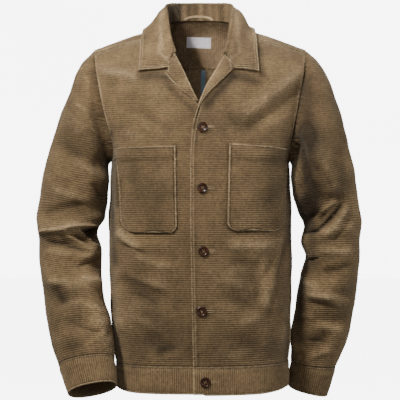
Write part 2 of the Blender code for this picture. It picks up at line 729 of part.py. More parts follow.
def build_backs():
    across = np.linspace(EDGE_GAP, 1.0 - EDGE_GAP, PANEL_COLUMNS["back"])[None, :]
    share = BACK_SHARES[:, None].copy()
    share[0] += EDGE_GAP / 2
    share[-1] -= EDGE_GAP / 2
    start, reach = FOLD_FADE["back"]
    fade = np.clip((across - start) / reach, 0, 1)
    return {side: build_torso_panel("back", back_surface, side, across, share, fade)
            for side in (LEFT, RIGHT)}


def yoke_grid():
    outward = np.linspace(0.0, 1.0 - 2 * EDGE_GAP, YOKE_COLUMNS)[:, None]
    share = YOKE_SHARES[None, :].copy()
    share[0, 0] += YOKE_GAP
    left = yoke_surface(LEFT, outward, share)
    right = yoke_surface(RIGHT, outward, share)
    return np.concatenate([left, right[:, -2::-1]], axis=1)


def build_yoke():
    grid = yoke_grid()
    normal = facing(grid, normals_of(grid), SHOULDER_AXIS)
    inner = drawn_in(grid - normal * CLOTH, 0.5)
    add("yoke", wall_mesh("yoke", grid, inner), "cord")
    top = drawn_in(grid - normal * (CLOTH + SEAM), 1.0)
    foot = drawn_in(grid - normal * (CLOTH + SEAM + LINING), 1.0)
    add("yoke_lining", wall_mesh("yoke_lining", top, foot), "cord_inside")
    return grid, foot


def arm_stops():
    """Degrees round the armhole where the rows of the body panels end, so
    that the sleeve's columns start exactly there."""
    on_front = FRONT_SHARES[FRONT_SHARES >= FRONT_ARM[0, 0]]
    front = glide(FRONT_ARM[:, 0], FRONT_ARM[:, 1], on_front)
    on_arm = YOKE_SHARES[YOKE_SHARES <= YOKE_LINES[-1, 0]]
    yoke = glide(YOKE_LINES[:, 0], unwound(YOKE_LINES[:, 1:])[:, 1], on_arm)
    on_back = BACK_SHARES[BACK_SHARES >= BACK_ARM[0, 0]]
    back = glide(BACK_ARM[:, 0], BACK_ARM[:, 1], on_back)
    top = np.concatenate([yoke[::-1, 0], front[::-1, 0][1:]])
    return top, back[:, 0]


def build_sleeves():
    """Two pieces a sleeve; both seams drift round the arm on the way down."""
    top_stops, under_stops = arm_stops()
    share = np.linspace(0.0, 1.0, SLEEVE_ROWS)[:, None]
    for side in (LEFT, RIGHT):
        hind = HIND_SEAM[side][0] + np.diff(HIND_SEAM[side]) * share
        inner = INNER_SEAM[side][0] + np.diff(INNER_SEAM[side]) * share
        spans = {
            "top": (top_stops, hind, inner),
            "under": (under_stops, inner, hind + 360.0),
        }
        inset = SLEEVE_GAP + share * (1 - SLEEVE_GAP - CUFF_GAP)
        fade = np.clip((1.0 - share) / CUFF_FADE, 0, 1)
        for part, (stops, start, end) in spans.items():
            t = (stops - stops[0]) / (stops[-1] - stops[0])
            degrees = start + SEAM_DEGREES + (end - start - 2 * SEAM_DEGREES) * t
            grid = sleeve_surface(side, degrees, inset)
            centre = (grid + sleeve_surface(side, degrees + 180.0, inset)) / 2
            normal = normals_at(sleeve_surface, side, degrees, inset, SLEEVE_STEP)
            normal = facing(grid, normal, centre)
            name = "sleeve_%s_%s" % (SIDE_NAME[side], part)
            panel(name, grid, normal, FOLDS["sleeve_" + SIDE_NAME[side]], fade)


def build_cuffs():
    for side in (LEFT, RIGHT):
        top = SLEEVE_RINGS[side][-1, 1:]
        end = CUFF_END[side]
        degrees = np.arange(0.0, 360.0, 360.0 / CUFF_SIDES)[None, :]
        share = np.array([CUFF_TOP, 0.35, 0.70, 1.00])[:, None, None]
        values = top + (end - top) * share
        values = np.broadcast_to(values, (values.shape[0], degrees.shape[1], 7))
        outer = ring(values, np.broadcast_to(degrees, values.shape[:2]))
        inner_values = values - np.array([1, 0, -1, 0, 0, 1, 0]) * DOUBLE
        inner = ring(inner_values, np.broadcast_to(degrees, values.shape[:2]))
        name = "cuff_" + SIDE_NAME[side]
        mesh = wall_mesh(name, mirrored(outer, side), mirrored(inner, side), closed=True)
        add(name, mesh, "cord")


def build_waistband():
    """One strip round the hem, from the left front edge round the back to
    the under end of the right front."""
    front = np.linspace(0.0, 1.0, BAND_COLUMNS["front"])
    back = np.linspace(0.0, 1.0, BAND_COLUMNS["back"])
    path = np.concatenate([
        front_surface(LEFT, front, 0.0),
        back_surface(LEFT, back[::-1], 0.0)[1:],
        back_surface(RIGHT, back, 0.0)[1:],
        front_surface(RIGHT, front[::-1], 0.0)[1:],
    ])
    heading = np.gradient(path[:, :2], axis=0)
    out = np.stack([heading[:, 1], -heading[:, 0], 0 * path[:, 0]], axis=-1)
    out /= np.linalg.norm(out, axis=-1, keepdims=True)
    share = np.linspace(0.0, 1.0, BAND_ROWS)[:, None]
    middle = np.repeat(path[None], len(share), axis=0)
    drop = np.where(path[:, 0] > path[-1, 0], HEM_DROP[LEFT], HEM_DROP[RIGHT])
    start, reach = HEM_DROP_Y
    low = HEM_Z - drop * np.clip((start - path[:, 1]) / reach, 0, 1)
    middle[..., 2] = HEM_SEAM_Z - SEAM + (low - HEM_SEAM_Z + SEAM) * share
    half = LAP / 2 - SEAM / 2
    centre = middle - out * CLOTH / 2
    name = "waistband"
    add(name, wall_mesh(name, centre + out * half, centre - out * half), "cord")
    return centre + out * half


def build_pockets(trees):
    for side in (LEFT, RIGHT):
        cut = POCKETS[side]
        down = 1.0 - (1.0 - np.linspace(0.0, 1.0, POCKET_ROWS)[:, None])**1.3
        across = 1.0 - (1.0 - np.linspace(0.0, 1.0, POCKET_COLUMNS)[None, :])**1.25
        mouth = cut["mouth"][0] + (cut["mouth"][1] - cut["mouth"][0]) * across
        z = mouth + (cut["foot_z"] - mouth) * down
        edge = []
        for corner in (0, 1):
            x = cut["top"][corner] + (cut["foot"][corner] - cut["top"][corner]) * down
            radius = cut["corner"][corner]
            left = np.clip((z.mean(axis=1, keepdims=True) - cut["foot_z"]) / radius, 0, 1)
            tuck = radius * (1 - np.sqrt(np.clip(1 - (1 - left)**2, 0, 1)))
            edge.append(x + tuck * (1 if corner == 0 else -1))
        x = edge[0] + (edge[1] - edge[0]) * across
        lifted = lay(trees[side], x * side, z, POCKET_GAP)
        normal = facing(lifted, normals_of(lifted), BODY_AXIS)
        puff = POCKET_PUFF * np.sin(np.pi * across) * (1 - down)**0.5
        inner = lifted + normal * puff[..., None]
        name = "pocket_" + SIDE_NAME[side]
        add(name, wall_mesh(name, inner + normal * POCKET_CLOTH, inner), "cord")


def lay(tree, x, z, gap):
    """Points on a front surface that is looked at squarely, a gap in front."""
    x, z = np.broadcast_arrays(x, z)
    points = np.zeros(x.shape + (3,))
    for index in np.ndindex(x.shape):
        start = Vector((x[index], FAR_IN_FRONT, z[index]))
        found, normal, _, _ = tree.ray_cast(start, Vector((0.0, 1.0, 0.0)))
        away = normal if normal.y < 0 else -normal
        points[index] = found + away * gap
    return points


def across_at(side, share, reach):
    """Place across each row of a front, from its length along the cloth."""
    fine = np.linspace(0.0, 1.0, 80)
    rows = front_surface(side, fine[None, :], share[:, None])
    step = np.linalg.norm(np.diff(rows, axis=1), axis=-1)
    length = np.concatenate([0 * step[:, :1], np.cumsum(step, axis=1)], axis=1)
    return np.stack([np.interp(want, have, fine) for want, have in zip(reach, length)])


def build_lapels():
    for side in (LEFT, RIGHT):
        column = 1 if side == LEFT else 2
        z = np.concatenate([np.linspace(LAPEL_FOOT[side], LAPEL_TIP, 8),
                            LAPELS[LAPELS[:, 0] > LAPEL_TIP, 0]])
        width = glide(LAPELS[:, 0], LAPELS[:, column], z)[:, 0]
        keys = FRONT_ROWS[:, 1]
        share = glide(keys, FRONT_ROWS[:, 0], z)[:, 0]
        reach = np.linspace(0.0, 1.0, 4)[None, :] * width[:, None]
        across = across_at(side, share, reach)
        grid = front_surface(side, across, share[:, None])
        normal = facing(grid, normals_of(grid), BODY_AXIS)
        inner = grid + normal * LAPEL_GAP
        name = "lapel_" + SIDE_NAME[side]
        add(name, wall_mesh(name, inner + normal * CLOTH, inner), "cord")


def build_collar(tree):
    """Stand and fall in one folded sheet; the fall rests on the shoulders."""
    half = []
    stations = np.linspace(0.0, 1.0, COLLAR_STATIONS)
    row = glide(COLLAR[:, 0], COLLAR[:, 1:], stations)
    neck = glide(NECK[:, 0], NECK[:, 1:], stations)
    for side in (LEFT, RIGHT):
        spread = np.array([COLLAR_SPREAD[side], 1.0, 1.0])
        roll, turn, edge = row[:, 0:3] * spread, row[:, 3:6], row[:, 6:9] * spread
        out = edge - neck
        out[:, 2] = 0
        out /= np.linalg.norm(out, axis=-1, keepdims=True)
        foot = neck - out * COLLAR_FOOT[0] + np.array([0.0, 0.0, COLLAR_FOOT[1]])
        height = np.linalg.norm(roll - neck, axis=-1, keepdims=True)
        bend = np.minimum(COLLAR_ROLL, 0.3 * height)
        low = bend * np.array([0.0, 0.0, 1.4])
        profile = [
            foot,
            (foot + roll) / 2 - out * bend * 0.7,
            roll - out * bend * 0.8 - low,
            roll,
            roll + out * bend - low,
            (roll + turn) / 2 + out * bend * 0.8,
            turn,
            turn + (edge - turn) * 0.5,
            edge,
        ]
        half.append(mirrored(np.stack(profile, axis=1), side))
    left, right = half
    grid = np.concatenate([left[::-1], right[1:]])
    for station in range(grid.shape[0]):
        for place in range(4, grid.shape[1]):
            grid[station, place] = clear_of(tree, grid[station, place], COLLAR_GAP)
    normal = normals_of(grid)
    if normal[len(grid) // 2, 3, 2] < 0:
        normal = -normal
    top = grid + normal * DOUBLE / 2
    under = grid - normal * DOUBLE / 2
    add("collar", wall_mesh("collar", top, under), "cord")


def clear_of(tree, point, gap):
    """Lift a point that is closer than the gap to the cloth under it."""
    found, normal, _, _ = tree.find_nearest(Vector(point))
    away = Vector(point) - found
    outward = Vector((found.x, found.y, found.z + FAR_ABOVE))
    if normal.dot(outward) < 0:
        normal = -normal
    height = away.dot(normal)
    if height >= gap:
        return point
    return np.array(found + normal * gap)


def build_buttons(trees, band):
    band_tree = surface_tree(band)
    for number, (x, z) in enumerate(BUTTONS, start=1):
        tree = band_tree if number == len(BUTTONS) else trees[LEFT]
        start = Vector((x, FAR_IN_FRONT, z))
        found, normal, _, _ = tree.ray_cast(start, Vector((0.0, 1.0, 0.0)))
        away = normal if normal.y < 0 else -normal
        turn = away.to_track_quat("Z", "Y")
        shape = bmesh.new()
        rings = []
        for reach, height in BUTTON_PROFILE:
            verts = []
            for step in range(BUTTON_SIDES):
                angle = 2 * math.pi * step / BUTTON_SIDES
                place = Vector((math.cos(angle) * reach * BUTTON_RADIUS,
                                math.sin(angle) * reach * BUTTON_RADIUS,
                                height + SEAM + 0.1))
                verts.append(shape.verts.new((found + turn @ place) * MM))
            rings.append(verts)
        for lower, upper in zip(rings, rings[1:]):
            for step in range(BUTTON_SIDES):
                after = (step + 1) % BUTTON_SIDES
                shape.faces.new([lower[step], lower[after], upper[after], upper[step]])
        shape.faces.new(list(reversed(rings[0])))
        shape.faces.new(rings[-1])
        bmesh.ops.recalc_face_normals(shape, faces=shape.faces[:])
        name = "button_%d" % number
        mesh = bpy.data.meshes.new(name)
        shape.to_mesh(mesh)
        shape.free()
        mesh.shade_smooth()
        mesh.set_sharp_from_angle(angle=math.radians(40))
        add(name, mesh, "button")


def build_hanger_loop():
    """Narrow strap that arches against the inside of the collar stand."""
    x = np.linspace(LOOP_ENDS[0], LOOP_ENDS[1], LOOP_STATIONS)[:, None]
    middle = (LOOP_ENDS[0] + LOOP_ENDS[1]) / 2
    half = (LOOP_ENDS[1] - LOOP_ENDS[0]) / 2
    arch = LOOP_RISE * np.sqrt(np.clip(1.0 - ((x - middle) / half)**2, 0, 1))
    across = np.array([[0.0, 1.0]])
    z = LOOP_FOOT_Z + arch + LOOP_WIDTH * across
    bend = glide(NECK[:, 1], NECK[:, 2], np.abs(x[:, 0]))
    y = bend - LOOP_SETBACK + (z - LOOP_FOOT_Z) * LOOP_LEAN
    front = np.stack([x + 0 * z, y, z], axis=-1)
    back = front + np.array([0.0, LOOP_THICK, 0.0])
    add("hanger_loop", wall_mesh("hanger_loop", front, back), "strap")


def build_label(lining):
    """Plain woven label on the inside of the yoke."""
    tree = surface_tree(lining)
    lean = math.radians(LABEL_LEAN)
    points = np.zeros((LABEL_ROWS, LABEL_COLUMNS, 3))
    for row, col in np.ndindex(LABEL_ROWS, LABEL_COLUMNS):
        along = LABEL_SIZE[0] * (col / (LABEL_COLUMNS - 1) - 0.5)
        down = LABEL_SIZE[1] * (row / (LABEL_ROWS - 1) - 0.5)
        x = LABEL_CENTRE[0] + along * math.cos(lean) - down * math.sin(lean)
        z = LABEL_CENTRE[1] - down * math.cos(lean) - along * math.sin(lean)
        found, _, _, _ = tree.ray_cast(Vector((x, 0.0, z)), Vector((0.0, 1.0, 0.0)))
        points[row, col] = found
    back = points - np.array([0.0, LABEL_LIFT, 0.0])
    front = back - np.array([0.0, LABEL_THICK, 0.0])
    add("label", wall_mesh("label", front, back), "label")


def build_seam_tape():
    """Binding of the centre back seam, turned to the left inside."""
    share = np.linspace(TAPE_ALONG[0], TAPE_ALONG[1], TAPE_ROWS)[:, None]
    across = np.array([TAPE_ACROSS])
    seam = back_surface(LEFT, across, share)
    outer = seam - np.array([0.0, CLOTH + LABEL_LIFT, 0.0])
    inner = outer - np.array([0.0, TAPE_THICK, 0.0])
    add("seam_tape", wall_mesh("seam_tape", outer, inner), "tape")


def main():
    clear_scene()
    fronts = build_fronts()
    backs = build_backs()
    yoke, lining = build_yoke()
    build_sleeves()
    build_cuffs()
    band = build_waistband()
    trees = {side: surface_tree(fronts[side]) for side in (LEFT, RIGHT)}
    build_pockets(trees)
    build_lapels()
    body = surface_tree(fronts[LEFT], fronts[RIGHT], yoke, backs[LEFT], backs[RIGHT])
    build_collar(body)
    build_hanger_loop()
    build_label(lining)
    build_seam_tape()
    build_buttons(trees, band)


main()
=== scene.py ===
"""Corduroy work jacket, filled out as if worn: the shown pieces, materials,
light and camera.  The tables of its panels, sleeves, collar and folds and the
rules for their surfaces are the same as the solids'.

Frame: +Z up, the wearer faces -Y, the wearer's left is +X.
Tables are in millimetres; meshes are written in metres.
"""

import math

import bmesh
import bpy
import numpy as np
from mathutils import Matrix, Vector
from mathutils.bvhtree import BVHTree


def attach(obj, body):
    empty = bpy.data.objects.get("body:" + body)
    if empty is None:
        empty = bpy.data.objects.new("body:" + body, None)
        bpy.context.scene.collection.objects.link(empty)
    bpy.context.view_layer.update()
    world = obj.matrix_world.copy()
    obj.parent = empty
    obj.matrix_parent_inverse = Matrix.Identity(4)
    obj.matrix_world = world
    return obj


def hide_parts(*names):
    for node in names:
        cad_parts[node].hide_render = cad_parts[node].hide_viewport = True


MM = 0.001
LEFT, RIGHT = 1, -1    # the wearer's, and the sign of x
SIDE_NAME = {LEFT: "left", RIGHT: "right"}

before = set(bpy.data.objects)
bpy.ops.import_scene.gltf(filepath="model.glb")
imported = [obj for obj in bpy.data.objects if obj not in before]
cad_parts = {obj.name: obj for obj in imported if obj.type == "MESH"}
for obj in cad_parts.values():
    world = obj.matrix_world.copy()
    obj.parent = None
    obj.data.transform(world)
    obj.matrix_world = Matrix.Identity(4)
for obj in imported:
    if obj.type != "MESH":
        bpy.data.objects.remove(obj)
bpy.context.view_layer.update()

# Cloth walls
CLOTH = 1.8            # body corduroy
DOUBLE = 2.6           # folded and stitched corduroy: collar, pockets, cuffs
LINING = 1.2           # inside yoke
SEAM = 0.3             # gap kept at every seam
LAP = 4.2              # how far the right front lies behind the left one
LAP_END = (-112.0, 24.0)     # height where that ends, and the length it fades over

# Body heights
HEM_SEAM_Z = -633.0    # body to waistband
HEM_Z = -682.0         # lower edge of the waistband
HEM_DROP = {LEFT: 6.0, RIGHT: 4.0}   # how much lower it hangs in front
HEM_DROP_Y = (-40.0, 60.0)   # where that starts, and the length it grows over

# Where the side seam meets the armhole, in degrees round it from the shoulder
# point towards the front
ARM_SIDE_SEAM = 180.0

# Armhole: centre, half height vector, reach to the front and to the back
ARM_CENTRE = np.array([190.0, -6.0, -139.0])
ARM_HALF = np.array([18.5, 14.0, 107.0])
ARM_FRONT = 54.0
ARM_BACK = 90.0
ARM_POWER = 2.2
ARM_SCOOP = {LEFT: 4.0, RIGHT: 10.0}   # inward curve of the front armhole
ARM_SCOOP_AT = (135.0, 35.0)           # its middle and half width in degrees

# Side seam: height, x and y for the left side, x and y for the right side
SIDE_SEAM = np.array([
    # z      left x  left y  right x  right y
    [-633.0, 167.0,  -30.0,  157.0,   -44.0],
    [-560.0, 172.5,  -29.0,  165.5,   -40.0],
    [-450.0, 174.5,  -28.0,  172.0,   -34.0],
    [-350.0, 174.0,  -28.0,  173.0,   -30.0],
])

# Neckline from the centre back to the point where the roll line starts
NECK = np.array([
    # share  x     y      z
    [0.00,   0.0,  66.0,  33.0],
    [0.20,   24.0, 63.0,  32.5],
    [0.40,   46.0, 51.0,  30.0],
    [0.58,   60.0, 31.0,  25.0],
    [0.73,   67.0, 2.0,   15.0],
    [0.86,   65.0, -28.0, 2.0],
    [0.94,   59.0, -54.0, -18.0],
    [1.00,   50.0, -78.0, -40.0],
])

# Front panel, a row for each level from the waistband seam to the shoulder
# seam.  The edge is the front edge and, above the break, the roll line.
FRONT_ROWS = np.array([
    # share  edge z  edge y  edge x: left, right   handles: edge, side  turn
    [0.00,   -633.0, -126.0, -13.0,  -9.0,         112.0,         62.0, 75.0],
    [0.11,   -560.0, -129.0, -15.0,  -9.0,         112.0,         62.0, 75.0],
    [0.28,   -450.0, -131.0, -17.0,  -9.0,         112.0,         66.0, 79.0],
    [0.44,   -350.0, -132.0, -18.5,  -9.0,         112.0,         70.0, 84.0],
    [0.60,   -248.0, -131.0, -18.5,  -9.0,         114.0,         78.0, 90.0],
    [0.67,   -205.0, -129.0, -16.5,  -9.0,         104.0,         56.0, 70.0],
    [0.74,   -160.0, -126.5, -8.0,   -6.0,         90.0,          48.0, 56.0],
    [0.81,   -115.0, -120.0, 7.5,    14.0,         75.0,          40.0, 44.0],
    [0.88,   -74.0,  -104.0, 31.0,   33.0,         60.0,          36.0, 36.0],
    [0.94,   -40.0,  -78.0,  50.0,   50.0,         48.0,          34.0, 28.0],
    [0.97,   -18.0,  -54.0,  59.0,   59.0,         44.0,          32.0, 20.0],
    [1.00,   2.0,    -28.0,  65.0,   65.0,         42.0,          32.0, 10.0],
])
FRONT_ARM = np.array([
    # share  degrees round the armhole
    [0.60,   180.0],
    [0.67,   128.0],
    [0.74,   100.0],
    [0.81,   76.0],
    [0.88,   54.0],
    [0.94,   37.0],
    [1.00,   22.0],
])

# Back panel, the same way; the edge is the centre back seam
BACK_ROWS = np.array([
    # share  edge z  edge y  handles: edge, side  turn
    [0.00,   -633.0, 96.0,   100.0,  104.0,       105.0],
    [0.13,   -560.0, 96.0,   100.0,  104.0,       105.0],
    [0.32,   -450.0, 98.0,   104.0,  106.0,       105.0],
    [0.49,   -350.0, 103.0,  106.0,  106.0,       105.0],
    [0.66,   -250.0, 108.0,  106.0,  90.0,        99.0],
    [0.72,   -222.0, 109.0,  104.0,  70.0,        92.0],
    [0.79,   -186.0, 110.5,  98.0,   56.0,        66.0],
    [0.86,   -142.0, 111.0,  90.0,   50.0,        42.0],
    [0.93,   -98.0,  110.0,  85.0,   46.0,        30.0],
    [1.00,   -58.0,  106.0,  80.0,   44.0,        26.0],
])
BACK_ARM = np.array([
    # share  degrees round the armhole
    [0.66,   180.0],
    [0.72,   208.0],
    [0.79,   234.0],
    [0.86,   258.0],
    [0.93,   284.0],
    [1.00,   308.0],
])

# Yoke, a line for each station from the neckline outwards: where it leaves
# the neckline, where it ends (on the armhole, or on the yoke seam), and how
# its two handles lean
YOKE_LINES = np.array([
    # share  neck   arm    neck handle: x, y, z   far handle: x, y, z
    [0.00,   0.86,  22.0,  42.0,  0.0,  -12.8,    -31.5, -5.6,  9.6],
    [0.18,   0.73,  0.0,   42.0,  3.0,  -9.0,     -45.0, 0.0,   20.0],
    [0.36,   0.55,  332.0, 36.0,  14.0, -9.0,     -42.0, -6.0,  24.0],
    [0.52,   0.38,  308.0, 28.0,  24.0, -10.0,    -40.0, -4.0,  26.0],
])
YOKE_SEAM_LINES = np.array([
    # share  neck   seam   neck handle: x, y, z   far handle: x, y, z
    [0.52,   0.38,  1.00,  28.0,  24.0, -10.0,    -40.0, -4.0,  26.0],
    [0.76,   0.19,  0.50,  10.0,  26.0, -14.0,    -6.0,  -4.0,  32.0],
    [1.00,   0.00,  0.00,  0.0,   26.0, -16.0,    0.0,   -3.0,  34.0],
])

# Sleeve rings: share of the length, outer edge x, z, inner edge x, z, then
# how far the ring's middle lies back, its half depth, and the lean in degrees
# that lifts its front rim
SLEEVE_RINGS = {
    RIGHT: np.array([
        # share  out x  out z   in x   in z    y       depth  lean
        [0.04,   217.0, -41.0,  179.0, -251.0, 4.0,    76.0,  0.0],
        [0.08,   226.0, -51.0,  181.0, -260.0, -4.0,   75.0,  0.0],
        [0.14,   240.0, -80.0,  180.0, -274.0, -12.0,  72.0,  0.0],
        [0.21,   257.0, -127.0, 178.5, -289.0, -18.0,  70.0,  0.0],
        [0.28,   275.0, -174.0, 178.0, -305.0, -21.0,  68.0,  0.0],
        [0.35,   290.0, -220.0, 178.0, -320.0, -21.0,  66.0,  1.0],
        [0.42,   302.0, -267.0, 180.0, -334.0, -18.0,  65.0,  2.0],
        [0.49,   311.0, -318.0, 184.0, -346.0, -13.0,  64.0,  4.0],
        [0.55,   317.0, -357.0, 186.0, -357.0, -11.0,  63.0,  6.0],
        [0.58,   315.0, -374.0, 195.0, -370.0, -12.0,  61.0,  8.0],
        [0.61,   313.5, -390.0, 199.0, -384.0, -15.0,  60.0,  10.0],
        [0.67,   311.0, -422.0, 191.0, -414.0, -22.0,  59.0,  14.0],
        [0.75,   306.0, -466.0, 189.0, -460.0, -34.0,  57.0,  17.0],
        [0.83,   299.0, -514.0, 184.0, -510.0, -48.0,  54.0,  20.0],
        [0.90,   290.0, -560.0, 173.0, -551.0, -64.0,  50.0,  22.0],
        [0.95,   280.0, -600.0, 165.5, -588.0, -79.0,  46.0,  23.0],
        [1.00,   266.0, -635.0, 161.0, -620.0, -93.0,  41.0,  24.0],
    ]),
    LEFT: np.array([
        # share  out x  out z   in x   in z    y       depth  lean
        [0.04,   217.0, -41.0,  179.0, -251.0, 4.0,    76.0,  0.0],
        [0.08,   226.0, -51.0,  181.5, -260.0, -4.0,   75.0,  0.0],
        [0.14,   246.0, -80.0,  180.5, -275.0, -12.0,  72.0,  0.0],
        [0.21,   263.0, -127.0, 179.5, -291.0, -17.0,  70.0,  0.0],
        [0.28,   277.0, -173.0, 179.5, -306.0, -18.0,  68.0,  0.0],
        [0.35,   289.0, -220.0, 181.5, -317.0, -16.0,  66.0,  0.0],
        [0.42,   299.0, -267.0, 186.0, -330.0, -10.0,  65.0,  0.0],
        [0.49,   309.0, -322.0, 193.0, -349.0, 1.0,    64.0,  0.0],
        [0.55,   314.5, -365.0, 203.0, -373.0, 2.0,    62.0,  0.0],
        [0.60,   312.0, -400.0, 196.0, -402.0, 4.0,    61.0,  -1.0],
        [0.65,   311.0, -433.0, 207.0, -433.0, 6.0,    60.0,  -2.0],
        [0.72,   309.0, -470.0, 197.0, -468.0, 10.0,   58.0,  -3.0],
        [0.79,   304.0, -514.0, 189.0, -512.0, 15.0,   55.0,  -4.0],
        [0.86,   297.0, -556.0, 183.0, -556.0, 21.0,   51.0,  -5.0],
        [0.93,   289.0, -598.0, 181.0, -596.0, 27.0,   46.0,  -6.0],
        [1.00,   267.0, -648.0, 179.0, -638.0, 33.0,   41.0,  -6.0],
    ]),
}
CUFF_END = {
    # out x, out z, in x, in z, y, half depth, lean
    RIGHT: np.array([247.0, -687.0, 156.0, -669.0, -112.0, 37.0, 26.0]),
    LEFT: np.array([251.0, -707.0, 175.0, -689.0, 38.0, 37.0, -6.0]),
}
SLEEVE_POWER = 2.25

# Sleeve seams in degrees round the ring, at the armhole and at the cuff
HIND_SEAM = {RIGHT: (-52.0, 8.0), LEFT: (-52.0, 24.0)}
INNER_SEAM = {RIGHT: (180.0, 205.0), LEFT: (180.0, 205.0)}

# Largest folds of the body and sleeves, given as seen from the face that
# they lie on: -1 for the front, +1 for the back
FOLDS = {
    "front_right": [
        # face, x and z of both ends, half width, rise
        (-1, -190, -72, -120, -92, 12, 5.0),
        (-1, -176, -110, -120, -98, 14, -3.0),
        (-1, -148, -390, -122, -412, 11, 6.0),
        (-1, -138, -478, -70, -506, 14, -5.0),
        (-1, -84, -424, -24, -436, 12, -4.0),
        (-1, -96, -590, -30, -578, 20, -5.0),
        (-1, -150, -560, -110, -520, 16, 4.0),
    ],
    "front_left": [
        (-1, 196, -78, 92, -160, 15, 6.0),
        (-1, 186, -110, 96, -186, 14, -5.0),
        (-1, 60, -409, 132, -411, 12, 6.0),
        (-1, 150, -404, 128, -520, 12, 5.0),
        (-1, 142, -410, 112, -500, 12, -4.0),
        (-1, 34, -580, 96, -592, 20, -5.0),
        (-1, 60, -460, 40, -540, 18, 3.0),
    ],
    "back_right": [
        (1, -180, -120, -110, -190, 18, 5.0),
        (1, -172, -170, -80, -240, 18, -5.0),
        (1, -160, -420, -60, -452, 18, 5.0),
        (1, -150, -460, -40, -486, 18, -5.0),
        (1, -140, -560, -70, -540, 20, 4.0),
    ],
    "back_left": [
        (1, 180, -128, 104, -200, 18, 5.0),
        (1, 168, -182, 70, -236, 18, -5.0),
        (1, 156, -400, 50, -440, 18, 5.0),
        (1, 150, -450, 34, -476, 18, -5.0),
        (1, 130, -580, 60, -548, 20, 4.0),
    ],
    "sleeve_right": [
        (-1, -234, -110, -180, -176, 15, -6.0),
        (-1, -270, -214, -186, -262, 15, -6.0),
        (-1, -250, -168, -196, -226, 14, 5.0),
        (-1, -214, -206, -190, -250, 18, -7.0),
        (-1, -300, -372, -238, -376, 15, 5.0),
        (-1, -240, -374, -190, -352, 15, 7.0),
        (-1, -236, -402, -200, -390, 14, -7.0),
        (-1, -300, -404, -256, -404, 14, -6.0),
        (-1, -296, -500, -258, -512, 18, -7.0),
        (-1, -240, -440, -196, -446, 14, -5.0),
        (-1, -244, -486, -196, -478, 14, 5.0),
        (-1, -236, -550, -180, -534, 14, -5.0),
        (-1, -232, -604, -170, -570, 13, -7.0),
        (1, -290, -330, -220, -300, 16, -7.0),
        (1, -296, -372, -214, -352, 16, 8.0),
        (1, -300, -416, -214, -400, 16, -8.0),
        (1, -290, -470, -210, -450, 18, 6.0),
        (1, -270, -560, -196, -530, 18, -6.0),
        (1, -262, -170, -214, -232, 18, -6.0),
    ],
    "sleeve_left": [
        (-1, 188, -222, 232, -316, 15, -9.0),
        (-1, 206, -200, 252, -300, 14, 6.0),
        (-1, 262, -318, 224, -358, 12, -7.0),
        (-1, 226, -354, 206, -366, 12, -8.0),
        (-1, 190, -394, 216, -430, 12, 9.0),
        (-1, 214, -388, 280, -376, 14, 6.0),
        (-1, 300, -500, 262, -508, 12, -7.0),
        (-1, 216, -500, 262, -516, 14, 6.0),
        (-1, 200, -456, 250, -468, 13, -6.0),
        (-1, 196, -548, 262, -560, 14, -5.0),
        (-1, 240, -590, 200, -622, 13, -6.0),
        (1, 290, -330, 220, -300, 16, -7.0),
        (1, 296, -372, 214, -352, 16, 8.0),
        (1, 300, -416, 214, -404, 16, -8.0),
        (1, 290, -480, 214, -456, 18, 6.0),
        (1, 276, -570, 200, -536, 18, -6.0),
        (1, 262, -160, 214, -222, 18, -6.0),
    ],
}

# Collar half, from the centre back to the front end: roll line, point where
# the fall turns down, and outer edge
COLLAR = np.array([
    # share  roll x  y      z      turn x y      z      edge x y      z
    [0.00,   0.0,    76.0,  72.0,  0.0,   93.0,  44.0,  0.0,   104.0, 4.0],
    [0.22,   28.0,   72.0,  71.0,  38.0,  87.0,  43.0,  50.0,  100.0, 3.0],
    [0.42,   51.0,   58.0,  69.5,  67.0,  68.0,  43.0,  86.0,  82.0,  3.0],
    [0.58,   64.0,   37.0,  65.0,  82.0,  44.0,  40.0,  104.0, 52.0,  3.0],
    [0.72,   67.0,   8.0,   55.0,  88.0,  8.0,   33.0,  110.0, 10.0,  5.0],
    [0.84,   63.5,   -34.0, 22.0,  85.0,  -38.0, 5.0,   112.0, -36.0, -24.0],
    [0.93,   57.0,   -68.0, -12.0, 71.0,  -80.0, -36.0, 113.0, -70.0, -54.0],
    [1.00,   50.0,   -89.0, -42.0, 60.0,  -101.0, -75.0, 116.0, -92.0, -80.0],
])
COLLAR_SPREAD = {LEFT: 0.955, RIGHT: 1.0}   # the left side sits closer in

# Lapel facings: height on the roll line, width of the left and the right one
LAPELS = np.array([
    # z       left   right
    [-187.0,  1.5,   1.5],
    [-160.0,  2.5,   1.5],
    [-137.0,  6.0,   7.0],
    [-122.0,  12.0,  18.0],
    [-108.0,  20.0,  28.0],
    [-95.0,   26.0,  34.5],
    [-86.0,   30.0,  38.0],
    [-79.0,   31.0,  27.0],
    [-72.0,   24.0,  24.0],
    [-60.0,   14.0,  14.0],
    [-51.0,   2.0,   2.0],
])
LAPEL_FOOT = {LEFT: -187.0, RIGHT: -137.0}
LAPEL_TUCK = 8.0       # how far the shown lapels run on under the collar

# Patch pockets as seen from the front
POCKETS = {
    # x at the top (inner, outer), x at the foot, z of the mouth (inner,
    # outer), z of the foot, corner radius (inner, outer)
    RIGHT: dict(top=(45.0, 158.0), foot=(42.0, 147.0), mouth=(-221.0, -223.0),
                foot_z=-384.0, corner=(16.0, 26.0)),
    LEFT: dict(top=(54.0, 164.0), foot=(50.0, 159.0), mouth=(-216.0, -224.0),
               foot_z=-380.0, corner=(18.0, 22.0)),
}

